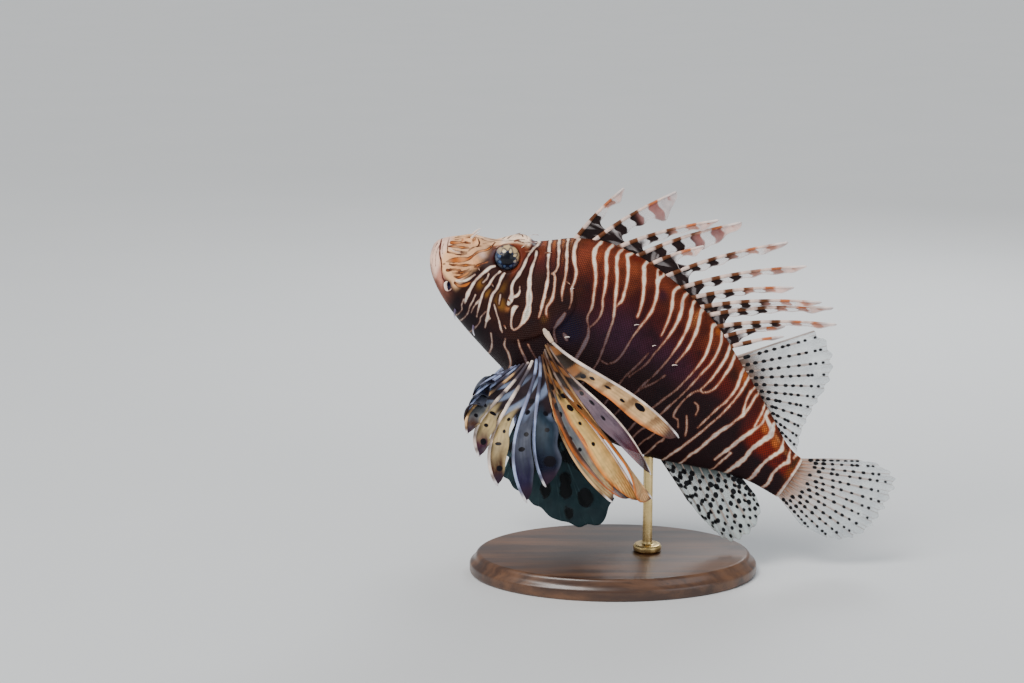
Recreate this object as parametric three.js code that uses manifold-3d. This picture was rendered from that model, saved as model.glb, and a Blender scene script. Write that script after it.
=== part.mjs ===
// A grown red lionfish, life size, as a still museum model that hovers head-up on a plain stand.
// Units are millimetres and +Z is up. The origin is the middle of the stand's underside.
// The fish is shaped in a frame of its own and then pitched up: x runs from the snout to the tail,
// z from the belly to the back, and -y is its left side.
import * as THREE from 'three';
import { mergeVertices } from 'three/addons/utils/BufferGeometryUtils.js';
import Module from 'manifold-3d';

const wasm = await Module();
wasm.setup();

// Driving dimensions
const STANDARD_LENGTH = 242;
const PITCH = 32.3;
const SNOUT_AT = [-103.6, 0, 185.5];
const GAP = 0.3;
const BODY_RINGS = 50;
const RING_POINTS = 32;
const RING_CROWDING = 1.32;
const BACK_ROUNDNESS = 1.12;
const BELLY_ROUNDNESS = 0.92;
const EYE = { x: 37.5, y: 9.3, z: 21.8, radius: 7.6 };
const MEMBRANE = 0.6;
const RAY_THICKNESS = 1.3;

const clamp01 = (t) => Math.min(1, Math.max(0, t));
const mix = (a, b, t) => a + (b - a) * t;
const smooth = (a, b, t) => {
  const k = clamp01((t - a) / (b - a));
  return k * k * (3 - 2 * k);
};
const hump = (t, width) => Math.exp(-((t / width) ** 2));
const vec = (x, y, z) => new THREE.Vector3(x, y, z);

// A smooth line through a few [position, value] rows that never swings past them.
function curve(rows) {
  const slope = (i) => (rows[i + 1][1] - rows[i][1]) / (rows[i + 1][0] - rows[i][0]);
  const last = rows.length - 1;
  const tangents = rows.map((row, i) => {
    if (i === 0) return slope(0);
    if (i === last) return slope(last - 1);
    const before = slope(i - 1);
    const after = slope(i);
    return before * after <= 0 ? 0 : (2 * before * after) / (before + after);
  });
  return (at) => {
    let i = 0;
    while (i < last - 1 && at > rows[i + 1][0]) i += 1;
    const width = rows[i + 1][0] - rows[i][0];
    const t = clamp01((at - rows[i][0]) / width);
    const rise = t * t * (3 - 2 * t);
    return mix(rows[i][1], rows[i + 1][1], rise)
      + width * t * (1 - t) * (tangents[i] * (1 - t) - tangents[i + 1] * t);
  };
}

// Side and top outlines of the body
const backLine = curve([[0, 4.5], [0.8, 7.6], [3.5, 11.2], [10, 16.6], [18, 21.4], [28, 25.6], [47, 36.2], [67, 51], [84, 57.8],
  [103, 60], [128, 58], [155, 51.5], [184, 38.2], [210, 25], [236, 12.2], [242, 11.5]]);
const bellyLine = curve([[0, 4.5], [0.8, 1], [2.5, -3.5], [9, -11], [18, -17], [30, -22.5], [50, -29],
  [71, -34.5], [95, -39], [120, -40], [145, -38], [169, -33], [190, -25.5], [210, -18.3], [228, -15], [242, -14.6]]);
const halfWidth = curve([[0, 0.4], [0.8, 4.2], [3.5, 7.2], [10, 9.8], [20, 12.6], [32, 16], [50, 20], [70, 23],
  [88, 23.6], [110, 22.3], [140, 18.3], [170, 13], [200, 8.2], [222, 5.6], [242, 3.6]]);
const widestAt = curve([[0, 4.5], [20, 3], [80, 2], [120, 4], [170, 3], [210, 2], [242, -1.5]]);
const gillEdge = curve([[-45, 40], [-30, 42], [-21, 50], [-14.7, 64], [-8, 71], [-1, 76], [9, 81.5], [18, 82.5],
  [27, 77], [36, 69], [46, 61], [60, 56]]);
const mouthLine = curve([[0, 8.5], [2.8, 6.2], [6, 1], [9.5, -3], [14, -7.4], [22, -12.5]]);
const MOUTH_CORNER = 22;

// A point of the body's surface at a station and an angle round it, with the raised forms of the head.
function bodyPoint(x, angle, grow = 0) {
  const across = Math.cos(angle);
  const up = Math.sin(angle);
  const power = up > 0 ? BACK_ROUNDNESS : BELLY_ROUNDNESS;
  const middle = widestAt(x);
  const reach = up > 0 ? backLine(x) - middle : middle - bellyLine(x);
  const side = Math.sign(across);
  let y = (halfWidth(x) + grow) * side * Math.abs(across) ** power;
  let z = middle + (reach + grow) * Math.sign(up) * Math.abs(up) ** power;
  const flank = smooth(2, 8, Math.abs(y));
  const orbit = 2.8 * hump(Math.max(0, Math.hypot(x - EYE.x, z - EYE.z) - 8), 5.5);
  const gillCover = 1.1 * smooth(48, 70, x) * (1 - smooth(-0.5, 2.5, x - gillEdge(z)));
  const lip = 0.9 * hump(z - mouthLine(x), 2.4) * (1 - smooth(MOUTH_CORNER - 2, MOUTH_CORNER + 3, x));
  const cheekRidge = 1.2 * hump(z - mix(13, 2, (x - 20) / 40), 3) * smooth(16, 24, x) * (1 - smooth(52, 62, x));
  y += side * flank * (orbit + gillCover + lip + cheekRidge);
  const brow = 6 * hump(x - EYE.x - 1, 9) * hump(Math.abs(y) - 9.5, 4.4) * smooth(16, 26, z);
  const nose = 1.6 * hump(x - 15, 5) * hump(Math.abs(y) - 4, 3) * smooth(12, 18, z);
  z += brow + nose;
  return vec(x, y, z);
}

// Turns any closed three.js geometry into a solid.
function solidFrom(geometry) {
  const bare = new THREE.BufferGeometry();
  bare.setAttribute('position', geometry.getAttribute('position'));
  bare.setIndex(geometry.index);
  const merged = mergeVertices(bare, 1e-4);
  return new wasm.Manifold(new wasm.Mesh({
    numProp: 3,
    vertProperties: new Float32Array(merged.getAttribute('position').array),
    triVerts: dropFlat(merged.index.array),
  }));
}

// Leaves out triangles that lost a side when the vertices were merged.
function dropFlat(index) {
  const kept = [];
  for (let i = 0; i < index.length; i += 3) {
    const [a, b, c] = [index[i], index[i + 1], index[i + 2]];
    if (a !== b && b !== c && c !== a) kept.push(a, b, c);
  }
  return new Uint32Array(kept);
}

function geometryFrom(solid) {
  const mesh = solid.getMesh();
  const geometry = new THREE.BufferGeometry();
  geometry.setAttribute('position', new THREE.BufferAttribute(new Float32Array(mesh.vertProperties), 3));
  geometry.setIndex(new THREE.BufferAttribute(new Uint32Array(mesh.triVerts), 1));
  return geometry;
}

// The largest closed piece of a solid, so that no scrap is left by a cut.
function largest(solid) {
  return solid.decompose().reduce((best, piece) => (piece.volume() > best.volume() ? piece : best));
}

// The whole body, or a copy that is grown outwards and used to cut what stands on it.
function bodySolid(grow) {
  const sheet = new THREE.PlaneGeometry(1, 1, RING_POINTS, BODY_RINGS);
  const position = sheet.getAttribute('position');
  for (let i = 0; i < position.count; i += 1) {
    const turn = Math.round((position.getX(i) + 0.5) * RING_POINTS) % RING_POINTS;
    const ring = Math.round((0.5 - position.getY(i)) * BODY_RINGS);
    const x = STANDARD_LENGTH * (ring / BODY_RINGS) ** RING_CROWDING;
    let point = bodyPoint(x, (-2 * Math.PI * (turn + 0.5)) / RING_POINTS, grow);
    if (ring === 0) point = vec(-grow, 0, backLine(0));
    position.setXYZ(i, point.x, point.y, point.z);
  }
  const closed = closeEnd(sheet);
  return solidFrom(closed);
}

// Closes the tail end of the body's sheet with a fan.
function closeEnd(sheet) {
  const position = sheet.getAttribute('position');
  const across = RING_POINTS + 1;
  const first = BODY_RINGS * across;
  const points = Array.from(position.array);
  const centre = position.count;
  points.push(STANDARD_LENGTH, 0, widestAt(STANDARD_LENGTH));
  const index = Array.from(sheet.index.array);
  for (let i = 0; i < RING_POINTS; i += 1) {
    index.push(first + i, centre, first + i + 1);
  }
  const closed = new THREE.BufferGeometry();
  closed.setAttribute('position', new THREE.Float32BufferAttribute(points, 3));
  closed.setIndex(index);
  return closed;
}

// A thin closed sheet: point(u, v) is its middle, thickness(u, v) its depth, and both faces are split alike.
function sheetSolid({ point, thickness, columns, rows, columnAt = (k) => k }) {
  const flat = new THREE.PlaneGeometry(1, 1, columns, rows);
  const place = flat.getAttribute('position');
  const count = place.count;
  const points = [];
  const backs = [];
  const step = 1e-3;
  for (let i = 0; i < count; i += 1) {
    const u = columnAt(place.getX(i) + 0.5);
    const v = 0.5 - place.getY(i);
    const middle = point(u, v);
    const alongU = point(Math.min(1, u + step), v).sub(point(Math.max(0, u - step), v));
    const alongV = point(u, Math.min(1, v + step)).sub(point(u, Math.max(0, v - step)));
    const half = alongU.cross(alongV).normalize().multiplyScalar(thickness(u, v) / 2);
    points.push(middle.x + half.x, middle.y + half.y, middle.z + half.z);
    backs.push(middle.x - half.x, middle.y - half.y, middle.z - half.z);
  }
  const front = Array.from(flat.index.array);
  const index = [...front];
  for (let i = 0; i < front.length; i += 3) {
    index.push(count + front[i], count + front[i + 2], count + front[i + 1]);
  }
  const across = columns + 1;
  const edge = (b, a) => index.push(a, b, count + b, a, count + b, count + a);
  for (let k = 0; k < columns; k += 1) {
    edge(k + 1, k);
    edge(rows * across + k, rows * across + k + 1);
  }
  for (let k = 0; k < rows; k += 1) {
    edge(k * across, (k + 1) * across);
    edge((k + 1) * across + columns, k * across + columns);
  }
  const closed = new THREE.BufferGeometry();
  closed.setAttribute('position', new THREE.Float32BufferAttribute([...points, ...backs], 3));
  closed.setIndex(index);
  const solid = solidFrom(closed);
  if (solid.volume() > 0) return solid;
  for (let i = 0; i < index.length; i += 3) {
    [index[i + 1], index[i + 2]] = [index[i + 2], index[i + 1]];
  }
  closed.setIndex(index);
  return solidFrom(closed);
}

function joined(pieces) {
  return wasm.Manifold.union(pieces);
}

// A plate cut out of the side view, as thick as the whole fish is wide.
function sidePlate(outline, thickness = 120) {
  const shape = new THREE.Shape(outline.map(([x, z]) => new THREE.Vector2(x, z)));
  const plate = new THREE.ExtrudeGeometry(shape, { depth: thickness, bevelEnabled: false });
  plate.rotateX(Math.PI / 2);
  plate.translate(0, thickness / 2, 0);
  return solidFrom(plate);
}

const steps = (count) => Array.from({ length: count + 1 }, (unused, i) => i / count);

// Head and trunk meet along the edge of the gill cover.
function headRegion(back) {
  const edge = steps(20).map((t) => {
    const z = mix(-60, 75, t);
    return [gillEdge(z) - back, z];
  });
  return sidePlate([[-20, -60], ...edge, [-20, 75]]);
}

// The lower jaw lies below the mouth, in front of a line that drops from its corner.
function jawRegion(shrink) {
  const mouth = steps(12).map((t) => {
    const x = mix(-6, MOUTH_CORNER + 5, t);
    const z = x < 0 ? mouthLine(0) - x * 0.9 : mouthLine(Math.min(x, MOUTH_CORNER));
    return [x - shrink * 0.5, z - shrink * 0.87];
  });
  return sidePlate([[-20, 20], ...mouth, [MOUTH_CORNER + 9 - shrink, -45], [-20, -45]]);
}

const TAIL_FROM = 168;

function eyeBall(side, grow = 0) {
  const ball = new THREE.SphereGeometry(EYE.radius + grow, 16, 11);
  ball.rotateX(Math.PI / 2);
  ball.translate(EYE.x, side * EYE.y, EYE.z);
  return solidFrom(ball);
}

function bodyNodes(body) {
  const headSide = headRegion(GAP);
  const trunkSide = headRegion(0);
  const tailBox = sidePlate([[TAIL_FROM, -70], [TAIL_FROM + 120, -70], [TAIL_FROM + 120, 90], [TAIL_FROM, 90]]);
  const trunkBox = sidePlate([[TAIL_FROM - GAP, -70], [TAIL_FROM + 120, -70], [TAIL_FROM + 120, 90],
    [TAIL_FROM - GAP, 90]]);
  const head = body.intersect(headSide);
  return {
    head: largest(head.subtract(jawRegion(0))),
    lower_jaw: largest(head.intersect(jawRegion(GAP))),
    trunk: largest(body.subtract(trunkSide).subtract(trunkBox)),
    tail: largest(body.intersect(tailBox)),
    eye_left: eyeBall(-1),
    eye_right: eyeBall(1),
  };
}

const body = bodySolid(0);
const grown = bodySolid(GAP);
const nodes = bodyNodes(body);

// A comb-like fin: stiff rays, each with a membrane behind it. Up to the web row the membranes reach the next ray,
// and beyond it every ray carries its own free vane. Each ray gives, for each of its rows: at, trail (a unit
// direction), width of the free vane, shaft width, shaft thickness and the normal of the fin there.
function combSheet(rays, rows, webRow) {
  const corners = [];
  const depths = [];
  const spot = (k, j, i) => (k * 4 + j) * (rows + 1) + i;
  rays.forEach((ray, k) => {
    for (let j = 0; j < 4; j += 1) {
      for (let i = 0; i <= rows; i += 1) {
        const row = ray[i];
        const shared = j === 3 && i <= webRow && k + 1 < rays.length;
        const from = shared ? rays[k + 1][i] : row;
        const offset = shared ? 0 : [0, row.shaft * 0.5, row.shaft, Math.max(row.width, row.shaft * 1.12)][j];
        corners.push(from.at.clone().add(row.trail.clone().multiplyScalar(offset)));
        depths.push(from.normal.clone().multiplyScalar((j === 1 ? row.thick : MEMBRANE) / 2));
      }
    }
  });
  const count = corners.length;
  const fronts = corners.flatMap((corner, n) => corner.clone().add(depths[n]).toArray());
  const backs = corners.flatMap((corner, n) => corner.clone().sub(depths[n]).toArray());
  const index = [];
  const wall = (a, b) => index.push(a, count + b, b, a, count + a, count + b);
  rays.forEach((ray, k) => {
    for (let i = 0; i < rows; i += 1) {
      for (let j = 0; j < 3; j += 1) {
        const [a, b, c, d] = [spot(k, j, i), spot(k, j + 1, i), spot(k, j + 1, i + 1), spot(k, j, i + 1)];
        index.push(a, b, c, a, c, d, count + a, count + c, count + b, count + a, count + d, count + c);
      }
      if (k === 0 || i >= webRow) wall(spot(k, 0, i + 1), spot(k, 0, i));
      if (k === rays.length - 1 || i >= webRow) wall(spot(k, 3, i), spot(k, 3, i + 1));
    }
    for (let j = 0; j < 3; j += 1) {
      wall(spot(k, j, 0), spot(k, j + 1, 0));
      wall(spot(k, j + 1, rows), spot(k, j, rows));
    }
  });
  const closed = new THREE.BufferGeometry();
  closed.setAttribute('position', new THREE.Float32BufferAttribute([...fronts, ...backs], 3));
  closed.setIndex(index);
  const solid = solidFrom(closed);
  if (solid.volume() > 0) return solid;
  for (let i = 0; i < index.length; i += 3) [index[i + 1], index[i + 2]] = [index[i + 2], index[i + 1]];
  closed.setIndex(index);
  return solidFrom(closed);
}

// Spines of the back fin, front to back: station of the base, station and height of the tip, widest membrane
const BACK_SPINES = [
  [65, 72, 87.5, 7], [73, 98, 101, 9], [85, 126, 100.5, 6], [97, 138, 106, 9], [106, 127, 84, 6], [117, 166, 110.5, 6],
  [127, 181.5, 105, 5.5], [135, 183, 91, 5], [142, 200, 92.5, 5], [148, 208, 93, 5], [156, 214, 86.5, 4.5],
  [163, 191, 70, 3.5], [169.5, 193, 65, 2.2],
];
const SPINE_ROOT = 4;
const SPINE_ROWS = 6;

function spinyBackFin() {
  const rays = BACK_SPINES.map(([x, tipX, tipZ, membrane], k) => {
    const start = vec(x, 0, backLine(x) - SPINE_ROOT);
    const end = vec(tipX, (k % 2 ? 1 : -1) * 1.6, tipZ);
    const chord = end.clone().sub(start);
    const forward = vec(-chord.z, 0, chord.x).normalize();
    const bend = start.clone().addScaledVector(chord, 0.42).addScaledVector(forward, chord.length() * 0.075);
    const line = new THREE.QuadraticBezierCurve3(start, bend, end);
    const webHeight = Math.min(0.5, (SPINE_ROOT + mix(9, 6, k / 12)) / line.getLength());
    return steps(SPINE_ROWS).map((step, i) => {
      const v = i === 0 ? 0 : mix(webHeight, 1, (i - 1) / (SPINE_ROWS - 1));
      const along = line.getTangentAt(v);
      const swell = 0.62 + 0.38 * Math.sin(Math.PI * clamp01(v * 1.25 - 0.2));
      return {
        at: line.getPointAt(v),
        trail: vec(along.z, 0, -along.x).normalize(),
        width: membrane * swell * (1 - 0.9 * smooth(0.84, 1, v)),
        shaft: mix(2.4, 0.8, v),
        thick: mix(2.4, 0.8, v),
        normal: vec(0, 1, 0),
      };
    });
  });
  return largest(combSheet(rays, SPINE_ROWS, 1).subtract(grown));
}

// A fin whose rays fan out inside one membrane, as raised ridges. Its rim is notched between the rays.
function fanFin({ base, rim, rays, rows = 6, notch = 0.016, sway = () => 0 }) {
  const columns = rays * 2;
  return sheetSolid({
    columns,
    rows,
    point: (u, v) => {
      const dent = 1 - notch * (1 - Math.cos(2 * Math.PI * u * rays)) * smooth(0.7, 1, v);
      const at = base(u).lerp(rim(u), v * dent);
      at.y += sway(u, v);
      return at;
    },
    thickness: (u, v) => {
      const onRay = Math.round(u * columns) % 2 === 0;
      return onRay ? mix(RAY_THICKNESS + 0.5, MEMBRANE + 0.1, v) : MEMBRANE;
    },
  });
}

function softBackFin() {
  const rimX = curve([[0, 211], [0.12, 219], [0.26, 226], [0.42, 229], [0.6, 230.5], [0.8, 232], [1, 237]]);
  const rimZ = curve([[0, 76], [0.12, 71.5], [0.26, 64], [0.42, 53], [0.6, 39], [0.8, 22], [1, 8]]);
  return fanFin({
    rays: 11,
    base: (u) => {
      const x = mix(175.5, 231, u);
      return vec(x, 0, backLine(x) - 3);
    },
    rim: (u) => vec(rimX(u), 0, rimZ(u)),
    sway: (u, v) => 2.2 * v * Math.sin(3 * u + 0.6),
  });
}

function analFin() {
  const rimX = curve([[0, 200], [0.18, 219], [0.36, 231], [0.55, 238], [0.75, 241], [0.9, 238], [1, 231]]);
  const rimZ = curve([[0, -44], [0.18, -50], [0.36, -52], [0.55, -47], [0.75, -36], [0.9, -26], [1, -20]]);
  return fanFin({
    rays: 9,
    base: (u) => {
      const x = mix(170, 214, u);
      return vec(x, 0, bellyLine(x) + 3);
    },
    rim: (u) => vec(rimX(u), 0, rimZ(u)),
    sway: (u, v) => 2.4 * v * Math.sin(2.6 * u + 2),
  });
}

function tailFin() {
  const rimX = curve([[0, 268], [0.1, 281], [0.22, 293], [0.4, 297.5], [0.6, 298.5], [0.76, 293], [0.9, 281], [1, 264]]);
  const rimZ = curve([[0, 28], [0.1, 32.5], [0.22, 30.5], [0.4, 17], [0.6, 1], [0.76, -12], [0.9, -20], [1, -22]]);
  return fanFin({
    rays: 13,
    base: (u) => vec(STANDARD_LENGTH - 4, 0, mix(9.5, -12.6, u)),
    rim: (u) => vec(rimX(u), 0, rimZ(u)),
    sway: (u, v) => 3.2 * v * v * Math.sin(2.2 * u - 0.4),
  });
}

// The hip fins hang from the breast as two short fans.
function hipFin(side) {
  const angle = (u) => THREE.MathUtils.degToRad(mix(-80, -24, u));
  const reach = curve([[0, 48], [0.3, 59], [0.6, 74], [0.8, 79], [1, 68]]);
  const base = (u) => vec(mix(91, 99, u), side * mix(8.5, 6.5, u), bellyLine(95) + 5);
  return fanFin({
    rays: 6,
    base,
    rim: (u) => base(u).add(vec(Math.cos(angle(u)) * reach(u), side * mix(17, 8, u), Math.sin(angle(u)) * reach(u))),
    sway: (u, v) => side * 3 * Math.sin(Math.PI * v),
  });
}

// The breast fins: fourteen rays that sweep from the flank, round the breast, to the throat. Station, distance
// from the middle and height of the rays' roots and tips run from the top ray to the last.
const BREAST_RAYS = 14;
const SPLIT_RAY = 6;
const BREAST_ROWS = 8;
const WEB_ROW = 3;
const rootX = curve([[0, 77.5], [0.4, 81], [1, 73]]);
const rootZ = curve([[0, -2], [0.4, -12], [1, -28]]);
const tipX = curve([[0, 169], [0.08, 167], [0.16, 173], [0.3, 157], [0.46, 120], [0.58, 104], [0.72, 75], [0.85, 60], [1, 59]]);
const tipY = curve([[0, 44], [0.16, 56], [0.4, 62], [0.6, 67], [0.75, 66], [0.88, 57], [1, 45]]);
const tipZ = curve([[0, -8], [0.08, -32], [0.16, -43], [0.3, -57], [0.46, -70], [0.58, -83], [0.72, -72], [0.85, -57], [1, -40]]);

function flankAt(x, z) {
  const middle = widestAt(x);
  const up = z > middle;
  const reach = up ? backLine(x) - middle : middle - bellyLine(x);
  const power = up ? BACK_ROUNDNESS : BELLY_ROUNDNESS;
  const share = clamp01(Math.abs(z - middle) / reach) ** (1 / power);
  return halfWidth(x) * Math.cos(Math.asin(share)) ** power;
}

const FAR_FIN_DROP = 16;

// The right fin is held lower and further back in front than the left one.
function breastRay(t, side) {
  const drop = side > 0 ? FAR_FIN_DROP * smooth(0.35, 1, t) : 0;
  const start = vec(rootX(t), side * (flankAt(rootX(t), rootZ(t)) - 1.8), rootZ(t));
  const end = vec(tipX(t) + drop * 0.85, side * tipY(t), tipZ(t) - drop);
  const reach = start.distanceTo(end);
  const leave = start.clone().lerp(end, 0.28).add(vec(-2 * t, side * mix(4, 8, t), mix(0, 5, t) * reach * 0.01));
  const arrive = start.clone().lerp(end, 0.72).add(vec(mix(0, -9, t * t), side * mix(6, 9, t), mix(4, 9, t)));
  return new THREE.CubicBezierCurve3(start, leave, arrive, end);
}

const breastVane = curve([[0, 9.5], [2, 11.5], [5, 13.5], [8, 13.5], [10, 11], [13, 8]]);
const VANE_TILT = 0.3;

// A breast fin's part: rays from one number to another, each with its vane on the side of the next one.
function breastFin(side, first, last) {
  const turn = Math.sign(last - first);
  const numbers = Array.from({ length: Math.abs(last - first) + 1 }, (unused, k) => first + k * turn);
  const rays = numbers.map((number) => {
    const here = breastRay(number / (BREAST_RAYS - 1), side);
    const next = breastRay((number + turn) / (BREAST_RAYS - 1), side);
    const fullest = breastVane(number);
    return steps(BREAST_ROWS).map((v) => {
      const gap = next.getPoint(v).sub(here.getPoint(v));
      const outward = here.getTangent(v).cross(gap).normalize().multiplyScalar(turn * side);
      const tilt = VANE_TILT * smooth(0.36, 0.6, v);
      const trail = gap.clone().normalize().multiplyScalar(Math.cos(tilt)).addScaledVector(outward, Math.sin(tilt));
      const free = fullest * mix(0.5, 1, smooth(0.3, 0.62, v)) * (1 - 0.86 * smooth(0.8, 1, v));
      const share = number === last ? 0.46 : mix(0.9, 1.15, smooth(0.45, 0.7, v));
      return {
        at: here.getPoint(v),
        trail,
        width: Math.min(free, gap.length() * share),
        shaft: Math.min(mix(2, 1, v), gap.length() * 0.4),
        thick: mix(2.2, 0.9, v),
        normal: here.getTangent(v).cross(trail).normalize().multiplyScalar(turn),
      };
    });
  });
  return rays;
}

function breastFinSolid(side, first, last) {
  return largest(combSheet(breastFin(side, first, last), BREAST_ROWS, WEB_ROW).subtract(grown));
}

// Soft feelers over the eyes, and small skin tags on the snout and cheeks
function browFeeler(side) {
  const root = onSkin(41, 57, side);
  const line = new THREE.QuadraticBezierCurve3(
    root.clone().add(vec(-0.5, -side, -2.5)), root.clone().add(vec(2, side, 6)), root.clone().add(vec(7, side * 2, 7)),
  );
  return largest(feeler(line, 1.8, 0.7).subtract(grown));
}

function feeler(line, rootWidth, tipWidth, sides = 6, rows = 5) {
  const section = new THREE.Shape(steps(sides).slice(0, sides).map((t) => {
    const angle = 2 * Math.PI * t;
    return new THREE.Vector2(Math.cos(angle) * rootWidth * 0.5, Math.sin(angle) * rootWidth * 0.5);
  }));
  const tube = new THREE.ExtrudeGeometry(section, { steps: rows, extrudePath: line, bevelEnabled: false });
  const place = tube.getAttribute('position');
  for (let i = 0; i < place.count; i += 1) {
    const at = vec(place.getX(i), place.getY(i), place.getZ(i));
    const nearest = steps(rows).reduce((best, t) => {
      const away = line.getPointAt(t).distanceTo(at);
      return away < best.away ? { t, away } : best;
    }, { t: 0, away: Infinity });
    const middle = line.getPointAt(nearest.t);
    const scale = mix(1, tipWidth / rootWidth, nearest.t);
    const moved = at.sub(middle).multiplyScalar(scale).add(middle);
    place.setXYZ(i, moved.x, moved.y, moved.z);
  }
  return solidFrom(tube);
}

// Head details: the angle round the body is counted from the side, upwards
function onSkin(x, angle, side) {
  const at = bodyPoint(x, THREE.MathUtils.degToRad(angle));
  return vec(at.x, side * Math.abs(at.y), at.z);
}

// Station, angle, length, then the way it points: back, out and up
const HEAD_SPINES = [
  [29, 55, 4, 0.5, 0.3, 0.9], [37, 62, 4.5, 0.6, 0.2, 0.9], [45, 55, 4.5, 0.8, 0.3, 0.8], [55, 58, 4, 0.8, 0.4, 0.7],
  [27, 18, 3.5, 0.6, 1, -0.3], [38, 8, 3.5, 0.6, 1, -0.3], [50, 3, 4, 0.6, 1, -0.2], [56, -20, 4, 0.6, 1, -0.3],
  [72, 34, 4, 0.8, 0.8, 0.1],
];
const SPINE_SINK = 2;

function headSpine([x, angle, length, back, out, up], side) {
  const root = onSkin(x, angle, side);
  const way = vec(back, side * out, up).normalize();
  const cone = new THREE.ConeGeometry(1.5, length + SPINE_SINK, 5);
  cone.applyQuaternion(new THREE.Quaternion().setFromUnitVectors(vec(0, 1, 0), way));
  const middle = root.clone().addScaledVector(way, (length - SPINE_SINK) / 2);
  cone.translate(middle.x, middle.y, middle.z);
  return solidFrom(cone);
}

// Station, angle, drop or rise, and backward bend of the skin tags on the snout and chin
const SKIN_TAGS = [
  [15.5, 62, 6, 2.5, 1.5], [29, -58, -5, 3, 1.6], [42, -50, -4.5, 3.5, 1.6],
];

function skinTag([x, angle, rise, back, width], side) {
  const root = onSkin(x, angle, side);
  const start = root.clone().add(vec(0, -side * 0.8, -Math.sign(rise) * 1.6));
  const bend = root.clone().add(vec(0.3, side * 0.8, rise * 0.6));
  const end = root.clone().add(vec(back, side * 1.2, rise));
  return feeler(new THREE.QuadraticBezierCurve3(start, bend, end), width, 0.7, 5, 4);
}

function nostril(side, x, angle, radius) {
  const at = onSkin(x, angle, side);
  const pit = new THREE.SphereGeometry(radius, 8, 6);
  pit.translate(at.x, at.y, at.z);
  return solidFrom(pit);
}

for (const side of [-1, 1]) {
  nodes.head = joined([nodes.head, ...HEAD_SPINES.map((spine) => headSpine(spine, side)),
    ...SKIN_TAGS.map((tag) => skinTag(tag, side))]);
  nodes.head = nodes.head.subtract(nostril(side, 18, 55, 1.1)).subtract(nostril(side, 12.5, 52, 0.8));
}
nodes.head = largest(nodes.head.subtract(eyeBall(-1, GAP)).subtract(eyeBall(1, GAP)));

Object.assign(nodes, {
  back_fin_spiny: spinyBackFin(),
  back_fin_soft: largest(softBackFin().subtract(grown)),
  anal_fin: largest(analFin().subtract(grown)),
  tail_fin: largest(tailFin().subtract(grown)),
});
for (const [side, word] of [[-1, 'left'], [1, 'right']]) {
  nodes[`hip_fin_${word}`] = largest(hipFin(side).subtract(grown));
  nodes[`breast_fin_rear_${word}`] = breastFinSolid(side, 0, SPLIT_RAY - 1);
  nodes[`breast_fin_front_${word}`] = breastFinSolid(side, BREAST_RAYS - 1, SPLIT_RAY);
  nodes[`brow_feeler_${word}`] = browFeeler(side);
}

// Stand: an oval foot and one short rod up to the belly
const FOOT = { length: 164, width: 112, height: 12 };
const ROD = { x: 19.6, radius: 2.75, collar: 8, collarHeight: 4 };

function standFoot() {
  const edge = FOOT.length / 2;
  const profile = [[0, 0], [edge - 1, 0], [edge, 1.2], [edge, 6], [edge - 2.5, 8], [edge - 4, FOOT.height - 1],
    [edge - 5.5, FOOT.height], [0, FOOT.height]].map(([r, z]) => new THREE.Vector2(r, z));
  const foot = new THREE.LatheGeometry(profile, 36);
  foot.rotateX(Math.PI / 2);
  foot.scale(1, FOOT.width / FOOT.length, 1);
  return solidFrom(foot);
}

function standRod(cutter) {
  const top = 110;
  const low = FOOT.height + GAP;
  const profile = [[0, low], [ROD.collar, low], [ROD.collar, low + ROD.collarHeight - 1],
    [ROD.collar - 1, low + ROD.collarHeight], [ROD.radius, low + ROD.collarHeight], [ROD.radius, top], [0, top]]
    .map(([r, z]) => new THREE.Vector2(r, z));
  const rod = new THREE.LatheGeometry(profile, 16);
  rod.rotateX(Math.PI / 2);
  rod.translate(ROD.x, 0, 0);
  const pieces = solidFrom(rod).subtract(cutter).decompose();
  return pieces.reduce((best, piece) => (piece.boundingBox().min[2] < best.boundingBox().min[2] ? piece : best));
}

const FINISHES = {
  head: [0x8a4a34, 0.5], lower_jaw: [0xa86a50, 0.5], trunk: [0x5a241e, 0.5], tail: [0x6a2c20, 0.5],
  eye: [0x10131c, 0.15], fin: [0xc9b9a4, 0.45], feeler: [0xd8c6b0, 0.5],
  stand_foot: [0x3a2a20, 0.4], stand_rod: [0xb08d4f, 0.3],
};

function meshOf(name, solid) {
  const kind = FINISHES[name] ? name : Object.keys(FINISHES).find((key) => name.includes(key));
  const [color, roughness] = FINISHES[kind];
  const metalness = kind === 'stand_rod' ? 0.9 : 0;
  const mesh = new THREE.Mesh(geometryFrom(solid), new THREE.MeshStandardMaterial({ color, roughness, metalness }));
  mesh.name = name;
  return mesh;
}

const lionfish = new THREE.Group();
const fish = new THREE.Group();
fish.position.set(...SNOUT_AT);
fish.rotation.y = THREE.MathUtils.degToRad(PITCH);
for (const [name, solid] of Object.entries(nodes)) fish.add(meshOf(name, solid));
lionfish.add(fish);
const placedBody = grown.rotate([0, PITCH, 0]).translate(SNOUT_AT);
lionfish.add(meshOf('stand_foot', standFoot()));
lionfish.add(meshOf('stand_rod', standRod(placedBody)));

export default lionfish;
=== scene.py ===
import math

import bmesh
import bpy
import numpy as np
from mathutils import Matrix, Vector
from mathutils.kdtree import KDTree


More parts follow.
